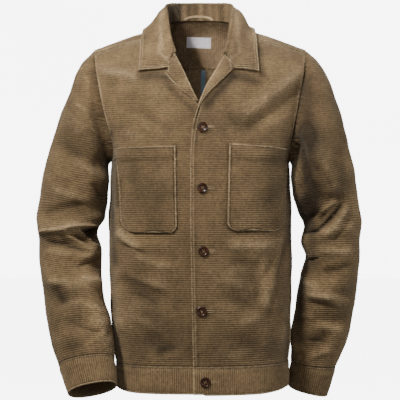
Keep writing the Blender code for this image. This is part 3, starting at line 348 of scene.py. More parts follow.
# Buttons: x, z of each, the last one on the waistband
BUTTONS = [
    (4.7, -186.0),
    (4.3, -299.5),
    (6.5, -417.5),
    (3.4, -530.0),
    (9.9, -662.0),
]
COLLAR_ROLL = 3.8       # half thickness of the collar's roll
COLLAR_GAP = 4.6        # middle of the collar's cloth over the shoulders
COLLAR_FOOT = (2.6, 1.5)    # how far its stand starts inside and above the neckline
COLLAR_OUTSIDE = 4          # first place of its profile outside the roll
BUTTON_RADIUS = 9.7

# Hanger loop on the inside of the collar stand
LOOP_ENDS = (-30.0, 24.0)    # x of both ends
LOOP_FOOT_Z = 33.0
LOOP_RISE = 8.0              # height of the arch
LOOP_WIDTH = 4.5
LOOP_THICK = 1.4
LOOP_SETBACK = 6.2           # how far it lies in front of the neck seam
LOOP_LEAN = 0.12             # how far it leans back as it rises

# Label on the inside of the yoke, seen from the front
LABEL_CENTRE = (-2.5, -6.0)  # x and z
LABEL_SIZE = (49.0, 21.0)    # width and height
LABEL_LEAN = 2.0             # degrees that it is turned by
LABEL_THICK = 0.6
LABEL_OVER = 1.0             # how far over the inside yoke its face lies

# Binding of the centre back seam, as shares of the left back's height and width
TAPE_THICK = 0.8
TAPE_AIR = 0.5
TAPE_ALONG = (0.012, 0.996)
TAPE_ACROSS = (0.006, 0.045)


def glide(keys, values, at):
    """Read a table between its rows on a smooth curve with no overshoot."""
    keys = np.asarray(keys, float)
    values = np.asarray(values, float).reshape(len(keys), -1)
    at = np.clip(np.asarray(at, float), keys[0], keys[-1])
    step = np.diff(keys)[:, None]
    slope = np.diff(values, axis=0) / step
    tangent = np.vstack([slope[:1], slope[-1:]]) if len(keys) == 2 else None
    if tangent is None:
        before, after = slope[:-1], slope[1:]
        same = before * after > 0
        total = np.where(same, before + after, 1.0)
        middle = np.where(same, 2.0 * before * after / total, 0.0)
        tangent = np.vstack([slope[:1], middle, slope[-1:]])
    low = np.clip(np.searchsorted(keys, at, side="right") - 1, 0, len(keys) - 2)
    t = ((at - keys[low]) / step[low, 0])[..., None]
    span = step[low]
    return (values[low] * (2 * t**3 - 3 * t**2 + 1)
            + tangent[low] * span * (t**3 - 2 * t**2 + t)
            + values[low + 1] * (3 * t**2 - 2 * t**3)
            + tangent[low + 1] * span * (t**3 - t**2))


def bezier(start, near, far, end, t):
    """Points on a curve from a start to an end, drawn to two handles."""
    t = np.asarray(t)[..., None]
    return (start * (1 - t)**3 + near * 3 * t * (1 - t)**2
            + far * 3 * t**2 * (1 - t) + end * t**3)


def mirrored(points, side):
    """Points given for x > 0, moved to a side."""
    return points * np.array([side, 1.0, 1.0])


def superround(degrees, power):
    """Cosine and sine of a rounded-square ring."""
    angle = np.radians(degrees)
    cos, sin = np.cos(angle), np.sin(angle)
    shape = 2.0 / power
    return (np.sign(cos) * np.abs(cos)**shape, np.sign(sin) * np.abs(sin)**shape)


def armhole(side, degrees):
    """Armhole seam for x > 0: 0 at the shoulder, 90 in front, 180 below."""
    degrees = np.asarray(degrees, float) % 360.0
    cos, sin = superround(degrees, ARM_POWER)
    reach = np.where(sin > 0, ARM_FRONT, ARM_BACK)
    points = ARM_CENTRE + ARM_HALF * cos[..., None]
    points[..., 1] -= reach * sin
    points[..., 0] -= ARM_SCOOP[side] * bell(degrees, *ARM_SCOOP_AT)
    return points


def side_seam(side, z):
    """Points of the side seam at given heights, for x > 0."""
    column = 1 if side == LEFT else 3
    top = armhole(side, ARM_SIDE_SEAM)
    keys = np.append(SIDE_SEAM[:, 0], top[2])
    values = np.vstack([SIDE_SEAM[:, column:column + 2], top[:2]])
    found = glide(keys, values, z)
    return np.concatenate([found, np.asarray(z, float)[..., None]], axis=-1)


def outer_edge(side, share, arm_table):
    """Side seam below the armhole, armhole seam above it."""
    share = np.asarray(share, float)
    split = arm_table[0, 0]
    top_z = armhole(side, ARM_SIDE_SEAM)[2]
    z = HEM_SEAM_Z + (top_z - HEM_SEAM_Z) * np.clip(share / split, 0, 1)
    seam = side_seam(side, z)
    degrees = glide(arm_table[:, 0], arm_table[:, 1], share)[..., 0]
    return np.where((share <= split)[..., None], seam, armhole(side, degrees))


def row_curve(edge, rim, near, far, turn, across):
    """Row of a panel from its centre edge to its outer edge."""
    width = np.maximum(rim[..., 0] - edge[..., 0], 1.0)
    rise = (rim[..., 2] - edge[..., 2]) / width
    angle = np.radians(turn)
    start = edge + np.stack([near, 0 * near, rise * near], axis=-1)
    lean = np.stack([np.cos(angle), np.sin(angle), rise * np.cos(angle)], axis=-1)
    end = rim - far[..., None] * lean
    return bezier(edge, start, end, rim, across)


def front_surface(side, across, share):
    """Outer face of a front panel, on its own side."""
    across, share = np.broadcast_arrays(across, share)
    row = glide(FRONT_ROWS[:, 0], FRONT_ROWS[:, 1:], share)
    edge_x = row[..., 2] if side == LEFT else row[..., 3]
    edge = np.stack([edge_x, row[..., 1], row[..., 0]], axis=-1)
    if side == RIGHT:
        end, reach = LAP_END
        edge[..., 1] += LAP * ramp(row[..., 0], end, -reach)
    rim = outer_edge(side, share, FRONT_ARM)
    points = row_curve(edge, rim, row[..., 4], row[..., 5], row[..., 6], across)
    return mirrored(points, side)


def back_surface(side, across, share):
    """Outer face of a back panel, on its own side."""
    across, share = np.broadcast_arrays(across, share)
    row = glide(BACK_ROWS[:, 0], BACK_ROWS[:, 1:], share)
    edge = np.stack([0 * row[..., 0], row[..., 1], row[..., 0]], axis=-1)
    rim = outer_edge(side, share, BACK_ARM)
    turn = -row[..., 4]
    points = row_curve(edge, rim, row[..., 2], row[..., 3], turn, across)
    return mirrored(points, side)


def yoke_surface(side, outward, share):
    """Outer face of one half of the yoke, from the forward shoulder seam
    (share 0) over the shoulder to the centre back (share 1)."""
    outward, share = np.broadcast_arrays(outward, share)
    on_arm = share <= YOKE_LINES[-1, 0]
    arm_row = glide(YOKE_LINES[:, 0], unwound(YOKE_LINES[:, 1:]), share)
    seam_row = glide(YOKE_SEAM_LINES[:, 0], YOKE_SEAM_LINES[:, 1:], share)
    row = np.where(on_arm[..., None], arm_row, seam_row)
    neck = glide(NECK[:, 0], NECK[:, 1:], row[..., 0])
    arm_end = armhole(side, arm_row[..., 1])
    seam_end = mirrored(back_surface(side, seam_row[..., 1], 1.0), side)
    end = np.where(on_arm[..., None], arm_end, seam_end)
    points = bezier(neck, neck + row[..., 2:5], end + row[..., 5:8], end, outward)
    return mirrored(points, side)


def unwound(lines):
    """Turn armhole degrees past 180 into negative ones, so that they glide."""
    lines = lines.copy()
    lines[:, 1] = np.where(lines[:, 1] > 180.0, lines[:, 1] - 360.0, lines[:, 1])
    return lines


def ring(values, degrees):
    """Ring of a sleeve or cuff from its outer and inner edges, for x > 0."""
    outer = np.stack([values[..., 0], values[..., 4], values[..., 1]], axis=-1)
    inner = np.stack([values[..., 2], values[..., 4], values[..., 3]], axis=-1)
    cos, sin = superround(degrees, SLEEVE_POWER)
    lean = np.radians(values[..., 6])
    forward = np.stack([0 * lean, -np.cos(lean), np.sin(lean)], axis=-1)
    middle = (outer + inner) / 2
    half = (outer - inner) / 2
    return middle + half * cos[..., None] + forward * (values[..., 5] * sin)[..., None]


def sleeve_surface(side, degrees, share):
    """Outer face of a sleeve, from the armhole (share 0) to the cuff seam."""
    degrees, share = np.broadcast_arrays(degrees, share)
    rings = SLEEVE_RINGS[side]
    lower = ring(glide(rings[:, 0], rings[:, 1:], share), degrees)
    start = armhole(side, degrees)
    first = rings[0, 0]
    blend = np.clip(share / first, 0, 1)[..., None]
    return mirrored(start + (lower - start) * blend, side)


def unit(vectors):
    """Vectors brought to length 1."""
    length = np.linalg.norm(vectors, axis=-1, keepdims=True)
    return vectors / np.maximum(length, 1e-9)


def ramp(value, start, reach):
    """0 up to a start, then rising to 1 over a reach."""
    return np.clip((value - start) / reach, 0, 1)


def eased(share):
    """A share from 0 to 1 with a gentle start and end."""
    return share * share * (3 - 2 * share)


def bell(value, middle, width, power=2):
    """1 at the middle, falling off to both sides."""
    return np.exp(-((value - middle) / width)**power)


def read_line(places, keys, points):
    """Points on a line at given places, which are counted as its keys are."""
    return np.stack([np.interp(places, keys, points[..., axis])
                     for axis in range(points.shape[-1])], axis=-1)


def distances(points):
    """Distance along each row from its first point."""
    step = np.linalg.norm(np.diff(points, axis=1), axis=-1)
    return np.concatenate([0 * step[:, :1], np.cumsum(step, axis=1)], axis=1)


def line_distances(points):
    """Distance along a line of points from its first one."""
    return distances(points[None])[0]


def smoothed(points):
    """Each row between the first and the last, evened out with its neighbours."""
    return (points[:-2] + 2 * points[1:-1] + points[2:]) / 4


def every(count, step):
    """Every so-manieth number from 0 up, and the last one below a count."""
    return np.unique(np.append(np.arange(0, count, step), count - 1))


def normals_of(points):
    """Unit normals of a grid of points, by central differences."""
    return unit(np.cross(np.gradient(points, axis=0), np.gradient(points, axis=1)))


def normals_at(surface, side, first, second, reach):
    """Unit normals of a surface, read just around each point."""
    first, second = np.broadcast_arrays(first, second)
    step = reach / 2
    along = surface(side, first + step[0], second) - surface(side, first - step[0], second)
    across = surface(side, first, second + step[1]) - surface(side, first, second - step[1])
    return unit(np.cross(along, across))


def facing(points, normal, centre):
    """Turn normals away from a point or line of points inside the garment."""
    outward = np.sum((points - centre) * normal, axis=-1).sum()
    return normal if outward > 0 else -normal


def fold_rise(points, normal, folds):
    """Height that the folds add along the normal."""
    rise = np.zeros(points.shape[:-1])
    flat = points[..., [0, 2]]
    for face, x0, z0, x1, z1, width, height in folds:
        start = np.array([x0, z0], float)
        run = np.array([x1, z1], float) - start
        along = np.clip((flat - start) @ run / (run @ run), 0, 1)
        nearest = start + along[..., None] * run
        away = np.linalg.norm(flat - nearest, axis=-1) / width
        seen = np.clip(normal[..., 1] * face * FACING, 0, 1)
        rise += height * seen * np.exp(-away**2)
    return rise


def across_at(side, share, reach):
    """Place across each row of a front, from its length along the cloth."""
    fine = np.linspace(0.0, 1.0, 80)
    rows = front_surface(side, fine[None, :], share[:, None])
    length = distances(rows)
    return np.stack([np.interp(want, have, fine) for want, have in zip(reach, length)])


def clear_of(tree, point, gap):
    """Lift a point that is closer than the gap to the cloth under it."""
    found, normal, _, _ = tree.find_nearest(Vector(point))
    away = Vector(point) - found
    outward = Vector((found.x, found.y, found.z + 250.0))
    if normal.dot(outward) < 0:
        normal = -normal
    height = away.dot(normal)
    if height >= gap:
        return point
    return np.array(found + normal * gap)


def grid_faces(rows, cols, start=0):
    """Squares over a grid of points."""
    return [[start + row * cols + col, start + row * cols + col + 1,
             start + (row + 1) * cols + col + 1, start + (row + 1) * cols + col]
            for row in range(rows - 1) for col in range(cols - 1)]


def tube_faces(rows, cols, closed=False):
    """Squares round a tube of rings of points, whose last ring may join its first."""
    return [[row * cols + col, row * cols + (col + 1) % cols,
             (row + 1) % rows * cols + (col + 1) % cols, (row + 1) % rows * cols + col]
            for row in range(rows if closed else rows - 1) for col in range(cols)]


def surface_tree(*grids):
    """Search tree over outer faces, in millimetres."""
    points, faces = [], []
    for grid in grids:
        faces += grid_faces(*grid.shape[:2], start=len(points))
        points += [Vector(point) for point in grid.reshape(-1, 3)]
    return BVHTree.FromPolygons(points, faces)


# Points inside the garment that cloth faces away from
BODY_AXIS = np.array([0.0, 0.0, -330.0])
SHOULDER_AXIS = np.array([0.0, 0.0, -200.0])

# How far apart a surface is read for its normals: in shares on a panel, in
# degrees and shares on a sleeve
NORMAL_STEP = np.array([0.004, 0.004])
SLEEVE_STEP = np.array([3.0, 0.01])

# Corduroy: width of one cord, height of its pile, and where along its width
# a cord has rows of points
WALE = 4.1
WALE_RISE = 0.85
WALE_PHASES = np.array([0.0, 0.27, 0.5, 0.73])

# Soft creases that only the shown cloth has, written as the folds are
CREASES = {
    "front_right": [
        # face, x and z of both ends, half width, rise
        (-1, -186, -78, -114, -100, 8, 3.5),
        (-1, -163, -246, -148, -378, 5, 4.0),
        (-1, -150, -376, -120, -414, 6, 5.0),
        (-1, -112, -150, -60, -196, 10, -2.5),
        (-1, -150, -196, -104, -212, 9, 2.5),
        (-1, -60, -110, -96, -150, 10, 2.0),
        (-1, -40, -400, -14, -352, 10, 2.0),
        (-1, -140, -404, -98, -430, 8, -4.5),
        (-1, -120, -432, -60, -450, 9, 2.6),
        (-1, -80, -440, -24, -452, 8, 3.0),
        (-1, -132, -460, -66, -492, 9, 3.5),
        (-1, -134, -496, -76, -520, 8, -2.5),
        (-1, -120, -548, -60, -572, 10, 2.6),
        (-1, -152, -452, -146, -560, 8, 3.0),
        (-1, -80, -604, -30, -596, 9, -3.0),
        (-1, -66, -618, -22, -612, 7, 2.4),
    ],
    "front_left": [
        (-1, 180, -92, 98, -156, 12, 1.5),
        (-1, 166, -156, 116, -196, 10, 1.2),
        (-1, 40, -150, 84, -196, 10, -2.2),
        (-1, 60, -436, 112, -450, 9, -3.0),
        (-1, 160, -400, 146, -470, 8, -5.0),
        (-1, 146, -470, 132, -540, 8, -4.5),
        (-1, 128, -430, 118, -530, 8, 3.5),
        (-1, 40, -500, 92, -524, 10, -3.0),
        (-1, 36, -470, 78, -486, 9, 2.4),
        (-1, 70, -556, 112, -540, 9, 2.6),
        (-1, 40, -616, 96, -610, 8, 2.4),
        (-1, 160, -560, 150, -610, 8, 4.0),
    ],
    "back_right": [
        (1, -150, -240, -60, -268, 12, 3.0),
        (1, -140, -330, -70, -350, 12, -3.0),
        (1, -120, -376, -40, -392, 12, 3.0),
        (1, -150, -520, -40, -540, 12, 3.0),
        (1, -120, -600, -60, -590, 10, -2.6),
    ],
    "back_left": [
        (1, 150, -244, 60, -262, 12, 3.0),
        (1, 140, -320, 80, -348, 12, -3.0),
        (1, 110, -368, 30, -384, 12, 3.0),
        (1, 150, -510, 50, -528, 12, 3.0),
        (1, 120, -604, 50, -596, 10, -2.6),
    ],
    "sleeve_right": [
        (-1, -306, -384, -254, -382, 4.5, 6.0),
        (-1, -264, -383, -180, -360, 5, 8.0),
        (-1, -230, -380, -186, -375, 5, -12.0),
        (-1, -214, -384, -188, -391, 6, -13.0),
        (-1, -204, -382, -188, -402, 6, -9.0),
        (-1, -234, -382, -206, -396, 5, 7.0),
        (-1, -210, -394, -196, -414, 5, 6.0),
        (-1, -248, -388, -216, -399, 4.5, -6.0),
        (-1, -254, -391, -224, -402, 5, 5.0),
        (-1, -228, -401, -202, -418, 6, 5.5),
        (-1, -294, -398, -250, -407, 8, -6.0),
        (-1, -254, -408, -214, -422, 7, -5.0),
        (-1, -292, -418, -246, -424, 8, 3.5),
        (-1, -226, -432, -186, -417, 7, 4.5),
        (-1, -232, -446, -190, -436, 6, -4.5),
        (-1, -222, -470, -182, -484, 8, 4.5),
        (-1, -276, -488, -254, -514, 11, -5.0),
        (-1, -286, -474, -250, -480, 8, 4.0),
        (-1, -262, -524, -220, -516, 8, 3.5),
        (-1, -214, -522, -176, -534, 7, 4.0),
        (-1, -232, -556, -186, -568, 7, -4.5),
        (-1, -236, -610, -178, -574, 7, 5.0),
        (-1, -246, -620, -190, -590, 6, -4.0),
        (-1, -206, -292, -184, -318, 8, -6.0),
        (-1, -280, -300, -210, -322, 9, 3.5),
        (-1, -296, -340, -222, -336, 9, -4.0),
        (-1, -240, -140, -206, -160, 9, 3.0),
        (-1, -236, -250, -200, -270, 8, 3.5),
        (-1, -172, -262, -176, -292, 14, 4.0),
        (-1, -190, -530, -180, -600, 13, 4.5),
        (1, -280, -250, -226, -262, 10, 3.4),
        (1, -296, -352, -214, -330, 8, 4.0),
        (1, -292, -394, -214, -378, 8, -5.0),
        (1, -284, -500, -222, -500, 10, -3.8),
        (1, -270, -590, -200, -576, 8, 3.4),
    ],
    "sleeve_left": [
        (-1, 272, -330, 224, -379, 5, -12.0),
        (-1, 228, -379, 196, -388, 5, -10.0),
        (-1, 262, -324, 212, -368, 5.5, 6.5),
        (-1, 284, -340, 240, -388, 7, 5.5),
        (-1, 286, -356, 254, -400, 7, -3.5),
        (-1, 198, -442, 226, -432, 6, -6.0),
        (-1, 224, -414, 290, -424, 8, 3.5),
        (-1, 216, -250, 250, -300, 8, -3.6),
        (-1, 200, -232, 226, -290, 7, 3.5),
        (-1, 262, -230, 282, -300, 10, -3.0),
        (-1, 210, -502, 266, -514, 7, 4.5),
        (-1, 214, -520, 262, -532, 8, -3.0),
        (-1, 186, -474, 224, -488, 7, 4.5),
        (-1, 240, -460, 290, -446, 9, -3.6),
        (-1, 182, -540, 220, -554, 7, 4.5),
        (-1, 226, -566, 276, -576, 8, 3.6),
        (-1, 252, -612, 214, -632, 7, 4.0),
        (-1, 176, -250, 182, -292, 14, 4.0),
        (-1, 182, -556, 186, -640, 13, 4.5),
        (-1, 210, -596, 250, -600, 7, -3.4),
        (1, 280, -250, 226, -262, 10, 3.4),
        (1, 296, -352, 214, -330, 8, 4.0),
        (1, 292, -394, 214, -378, 8, -5.0),
        (1, 284, -520, 222, -512, 10, -3.8),
        (1, 270, -590, 200, -580, 8, 3.4),
    ],
}

# Broad patches of painted shade, or of painted light where the amount is below 0
PAINTED_LIGHT_PATCHES = {
    "front_right": [
        # face, x and z of both ends, half width, amount
        (-1, -112, -89, -62, -91, 9, 0.8),
        (-1, -62, -106, -16, -152, 5, 0.6),
        (-1, -172, -196, -170, -350, 6, 1.4),
        (-1, -170, -350, -164, -440, 8, 0.9),
        (-1, -161, -240, -158, -330, 7, 0.8),
        (-1, -126, -476, -84, -536, 26, 0.45),
        (-1, -110, -602, 0, -604, 30, 0.5),
        (-1, -150, -100, -110, -104, 12, -0.3),
    ],
    "front_left": [
        (-1, 62, -87, 108, -99, 9, 0.8),
        (-1, 114, -34, 117, -84, 7, 0.7),
        (-1, 58, -94, 12, -144, 9, 1.0),
        (-1, 130, -56, 166, -100, 24, -0.35),
        (-1, 128, -150, 160, -150, 22, -0.2),
        (-1, 90, -410, 130, -480, 24, -0.45),
        (-1, 172, -600, 30, -606, 26, 0.45),
        (-1, 176, -240, 172, -400, 10, 0.9),
        (-1, 174, -560, 172, -640, 9, 0.8),
    ],
    "sleeve_right": [
        (-1, -218, -70, -206, -130, 18, -0.35),
        (-1, -252, -140, -250, -220, 18, 0.3),
        (-1, -292, -250, -288, -340, 16, 0.15),
        (-1, -214, -436, -206, -585, 20, -0.6),
        (-1, -212, -330, -206, -250, 14, -0.3),
        (-1, -236, -596, -200, -602, 18, 0.4),
        (1, -262, -160, -240, -250, 20, 0.35),
        (1, -250, -440, -236, -560, 20, -0.35),
    ],
    "sleeve_left": [
        (-1, 200, -96, 202, -200, 22, 0.9),
        (-1, 204, -200, 210, -330, 22, 1.0),
        (-1, 204, -330, 200, -372, 16, 0.9),
        (-1, 192, -420, 194, -590, 13, 0.8),
        (-1, 214, -366, 216, -440, 10, 0.6),
        (-1, 250, -440, 256, -590, 24, -0.4),
        (-1, 296, -230, 300, -400, 12, -0.6),
        (1, 262, -160, 240, -250, 20, 0.35),
        (1, 250, -440, 236, -560, 20, -0.35),
    ],
    "back_right": [
        (1, -130, -200, -60, -260, 26, -0.3),
        (1, -150, -420, -90, -520, 28, 0.35),
    ],
    "back_left": [
        (1, 140, -200, 70, -240, 26, -0.3),
        (1, 130, -440, 70, -530, 28, 0.35),
    ],
    "pocket_right": [
        (-1, -120, -240, -90, -370, 40, 0.45),
    ],
    "pocket_left": [
        (-1, 150, -240, 140, -360, 24, 0.35),
    ],
}

# Fullness that brings each sleeve and the side of the body together
SWELLS = [
    # side, z, how far the body and the sleeve come, reach up and down
    (LEFT, -274, 0.6, 3.0, 24),
    (LEFT, -596, 1.0, 2.2, 36),
    (RIGHT, -274, 0.6, 3.0, 24),
    (RIGHT, -586, 3.0, 4.8, 46),
]

AHEAD_Y = -400.0       # a place in front of the whole garment, to look at it from
SHOWN_CLOTH = 1.5      # thickness of a shown cloth wall
SEAM_DIP = 0.9         # how far the cloth turns down into a seam
SLEEVE_TURN = 1.7      # how far a sleeve's head runs on, and inward, into the armhole seam
UNDER_CORD = 0.8       # height of the pile on a wrong side, 0 to 1
BAND_GROOVE_SHADE = 0.4        # below 1, the bands show less painted groove shade, as their rubbed pile hides the grooves
COLLAR_GROOVE_SHADE = 4        # above 1, the collar's grooves show wider, with more painted groove shade

# Lines of points beside a seam, in distance from it, and how far apart they
# and the places read along a panel are
PANEL_EDGES = np.array([0.0, 0.7, 1.5, 2.2, 2.9, 4.5, 6.2, 7.0, 7.8, 9.5])
PANEL_STEP = 5.5
PANEL_SHARES = 260

# Folds and creases
SOFT_CREASE = 9.0      # half width from which a trough is round instead of sharp
CREASE_WANDER = 0.05   # how far a crease wanders, as a share of its length
CREASE_ENDS = (0.5, 0.52, 6)   # middle, half length and sharpness of its ends
FACING = 1.8           # how fast a crease shows as the cloth turns to its face
FOLD_FULL = 18.0       # rise at which a fold's ridge is fully pale, from use and as painted highlight, and its trough fully painted shaded
CREASE_FULL_HIGHLIGHT = 10.0     # the same for a crease's pale ridge
# rise at which a crease's trough is fully painted shaded
CREASE_FULL_SHADE = 6.5

# Rows of stitches, in distance from the edge
SEAM_ROWS = (2.2, 7.0)         # a felled seam
FRONT_EDGE_ROWS = (3.2, 8.6)
BAND_ROW = 3.7
POCKET_ROW = 4.4
POCKET_MOUTH_ROW = 3.6
LAPEL_ROW = 3.2
COLLAR_ROWS = ((3.5, 0.9), (8.4, 0.6))   # with the depth of each groove
LABEL_ROW = 2.2
TAPE_ROW = 1.8
STITCH_ANGLES = (0.0, 90.0, 180.0, 270.0)
STITCHES = {}          # rings of points of the stitches, by group


def wale_height(place):
    """Height of the pile, 0 to 1, at a place counted in cords."""
    return 1.0 - np.abs(2.0 * (place % 1.0) - 1.0)**3


def cord_levels(start, end, phases=WALE_PHASES):
    """Places counted in cords that carry rows of points, past both ends."""
    whole = np.arange(math.floor(start) - 1, math.ceil(end) + 2)
    return (whole[:, None] + phases[None, :]).ravel()


def level_grid(measure, keys, levels):
    """Cut every column of a surface at the same levels.  Gives the key of
    each cut, and for each cut its row, which is shared past a column's ends."""
    rows, cols = len(levels), measure.shape[1]
    found = np.empty((rows, cols))
    row_of = np.tile(np.arange(rows)[:, None], (1, cols))
    for col in range(cols):
        line = np.maximum.accumulate(measure[:, col] + np.arange(len(keys)) * 1e-7)
        found[:, col] = np.interp(levels, line, keys)
        low = max(int(np.searchsorted(levels, line[0], side="right")) - 1, 0)
        high = min(int(np.searchsorted(levels, line[-1], side="left")), rows - 1)
        row_of[:low, col] = low
        row_of[high:, col] = high
    return found, row_of


def stops(length):
    """Distances from 0 to a length, close together at the ends, where the
    stitched edges are, and wider apart between them."""
    head = PANEL_EDGES
    tail = length - PANEL_EDGES[::-1]
    count = max(int((tail[0] - head[-1]) / PANEL_STEP), 2)
    middle = np.linspace(head[-1], tail[0], count + 1)[1:-1]
    return np.concatenate([head, middle, tail])


def ripple(points, amount=1.0):
    """Slight unevenness of cloth long in use, the same wherever pieces meet."""
    x, y, z = points[..., 0], points[..., 1], points[..., 2]
    wave = (np.sin(x / 27.0 + z / 61.0 + 1.3) * np.sin(z / 17.0 - y / 47.0 + x / 71.0)
            + 0.6 * np.sin(x / 12.0 - z / 31.0) * np.sin(z / 14.0 + x / 43.0 + 0.7)
            + 0.25 * np.sin(x / 5.5 + z / 13.0) * np.sin(z / 7.0 - x / 17.0))
    return amount * wave


def crease_rise(points, normal, creases):
    """Height of the finer creases.  They fade at both ends and wander a little, and the narrow sunken
    ones come to a sharp line."""
    rise = np.zeros(points.shape[:-1])
    flat = points[..., [0, 2]]
    for number, (face, x0, z0, x1, z1, width, height) in enumerate(creases):
        start = np.array([x0, z0], float)
        run = np.array([x1, z1], float) - start
        length = math.hypot(*run)
        share = (flat - start) @ run / length**2
        off = (flat - start) @ np.array([-run[1], run[0]]) / length
        wander = CREASE_WANDER * length * np.sin(math.pi * share + 1.7 * number)
        away = np.abs(off - wander) / width
        sharp = height < 0 and width < SOFT_CREASE
        profile = np.exp(-1.5 * away) if sharp else np.exp(-away**2)
        fade = bell(share, *CREASE_ENDS)
        seen = np.clip(normal[..., 1] * face * FACING, 0, 1)
        rise += height * seen * profile * fade
    return rise


class Skin:
    """Face of a cloth piece on a grid, with its distances to its four edges.
    Rows past a column's end share that end's point.  Its layers say how high the pile stands, which
    also paints shade in its grooves, how pale it is from use and from painted highlight, and how much
    painted shade it has."""

    def __init__(self, points, normal, row_of=None):
        rows, cols = points.shape[:2]
        self.points = points
        self.normal = normal
        self.row_of = np.tile(np.arange(rows)[:, None], (1, cols)) if row_of is None else row_of
        self.cord = np.ones((rows, cols))
        self.wear_and_highlight = np.zeros((rows, cols))
        self.painted_shade = np.zeros((rows, cols))
        self.tone = np.zeros((rows, cols))
        self.first = distances(points)
        self.last = self.first[:, -1:] - self.first
        self.low = distances(points.transpose(1, 0, 2)).T
        self.high = self.low[-1:] - self.low
        self.edge = np.minimum(np.minimum(self.first, self.last),
                               np.minimum(self.low, self.high))

    def lift(self, rise):
        """Move the cloth outwards."""
        self.points = self.points + self.normal * np.broadcast_to(
            rise, self.points.shape[:2])[..., None]

    def lighten_pile(self, amount):
        """Turn the pile paler, as long use does and as a painted highlight."""
        self.wear_and_highlight = np.maximum(self.wear_and_highlight, amount)

    def paint_shade(self, amount):
        """Paint shade on the cloth, darkening it."""
        self.painted_shade = np.maximum(self.painted_shade, amount)

    def creased(self, folds, creases=0.0, reach=5.0):
        """Lift the cloth into folds and creases that die away at the seams, with their ridges turned
        pale, from use and as painted highlight, and painted shade in their troughs.
        """
        self.lift((folds + creases) * (1 - bell(self.edge, 0.0, reach)))
        self.lighten_pile(np.clip(folds / FOLD_FULL + creases / CREASE_FULL_HIGHLIGHT, 0, 0.6))
        self.paint_shade(np.clip(-folds / FOLD_FULL - creases / CREASE_FULL_SHADE, 0, 1))

    def toned(self, patches):
        """Painted shade near each patch's middle line, or painted light where its amount is below 0.
        """
        flat = self.points[..., [0, 2]]
        for face, x0, z0, x1, z1, width, amount in patches:
            start = np.array([x0, z0], float)
            run = np.array([x1, z1], float) - start
            share = np.clip((flat - start) @ run / (run @ run), 0, 1)
            away = np.linalg.norm(flat - start - share[..., None] * run, axis=-1)
            seen = np.clip(self.normal[..., 1] * face * 2.5 + 0.4, 0, 1)
            self.tone += amount * seen * bell(away, 0.0, width)

    def cords(self, place, rise=WALE_RISE):
        """Raise the pile into cords, whose places are counted in cords."""
        height = wale_height(place)
        self.lift(rise * (height - 0.6) * (1 - bell(self.edge, 0.0, 1.0)))
        # Low pile in the grooves takes the dark groove colour, which is painted shade
        self.cord = self.cord * height

    def seam(self, distance, depth=SEAM_DIP):
        """Turn the cloth down into a seam, with painted shade along it."""
        near = bell(distance, 0.0, 1.5)
        self.lift(-depth * near)
        self.cord = self.cord * (1 - near)
        self.paint_shade(0.6 * near)

    def round_off(self, distance, depth=0.9):
        """Round over a finished edge, with a painted shadow along its rim and pile turned pale by use
        just inside it.
        """
        self.lift(-depth * np.clip(1 - distance / 1.5, 0, 1)**2)
        self.cord = self.cord * (1 - 0.8 * bell(distance, 0.0, 0.6))
        self.lighten_pile(bell(distance, 1.7, 1.3))

    def stitched(self, distance, at, depth=0.8, wear_and_highlight=0.45):
        """Pull the cloth down along a row of stitches, with painted shade in its groove and a paler
        ridge beside it.
        """
        near = bell(distance, at, 0.85)
        self.lift(-depth * near)
        self.cord = self.cord * (1 - 0.9 * near)
        self.paint_shade(0.55 * near)
        ridge = np.exp(-((distance - at + 2.2) / 1.5)**2)
        self.lighten_pile(wear_and_highlight * ridge)
        self.lift(0.35 * ridge)

    def welt(self, distance):
        """Doubled cloth between the two rows of stitches along a seam."""
        ridge = bell(distance, 4.8, 2.8, 4)
        self.lift(0.9 * ridge)
        self.lighten_pile(0.75 * ridge)

    def pucker(self, distance, along, amount=0.45, reach=8.0):
        """Small uneven waves that a row of stitches draws into the cloth."""
        wave = np.sin(along / 1.45) * np.sin(along / 5.1 + 0.8)
        self.lift(amount * wave * bell(distance, 0.0, reach))

    def line(self, distance, inside):
        """Points and normals along the cloth at a distance from one edge."""
        by_row = distance is self.first or distance is self.last
        kept = self.row_of == np.arange(len(self.row_of))[:, None]
        points, normal, reach = self.points, self.normal, distance
        if not by_row:
            points, normal = points.transpose(1, 0, 2), normal.transpose(1, 0, 2)
            reach, kept = reach.T, kept.T
        places, leans = [], []
        for index in range(len(reach)):
            order = np.argsort(reach[index], kind="stable")
            sorted_reach = reach[index, order]
            spot = int(np.searchsorted(sorted_reach, inside))
            if spot >= len(order) or sorted_reach[-1] < inside + 3 or not kept[index, order[spot]]:
                continue
            places.append(read_line(inside, sorted_reach, points[index, order]))
            leans.append(normal[index, order[spot]])
        return np.array(places), np.array(leans)


def skin_faces(row_of):
    """Quads and triangles of a grid whose columns end at different rows."""
    cols = row_of.shape[1]
    number = row_of * cols + np.arange(cols)[None, :]
    a, b = number[:-1, :-1].ravel(), number[:-1, 1:].ravel()
    c, d = number[1:, 1:].ravel(), number[1:, :-1].ravel()
    left, right = a != d, b != c
    whole = np.stack([a, b, c, d], axis=1)[left & right]
    slope = np.stack([a, b, d], axis=1)[left & ~right]
    slant = np.stack([a, b, c], axis=1)[~left & right]
    return whole.tolist() + slope.tolist() + slant.tolist()


def rim_lines(row_of):
    """Point numbers along the four edges of a grid, each from low to high."""
    cols = row_of.shape[1]
    number = row_of * cols + np.arange(cols)[None, :]
    return [number[0], number[-1], np.unique(number[:, 0]), np.unique(number[:, -1])]


def zip_faces(points, first, second):
    """Triangles between two lines of points with different counts."""
    def places(line):
        """Distances along a line, as shares of its length."""
        length = line_distances(points[line])
        return length / max(length[-1], 1e-9)

    one, two = places(first), places(second)
    faces, i, j = [], 0, 0
    while i < len(first) - 1 or j < len(second) - 1:
        ahead = j == len(second) - 1 or (i < len(first) - 1 and one[i + 1] <= two[j + 1])
        if ahead:
            faces.append([int(first[i]), int(first[i + 1]), int(second[j])])
            i += 1
        else:
            faces.append([int(first[i]), int(second[j + 1]), int(second[j])])
            j += 1
    return faces


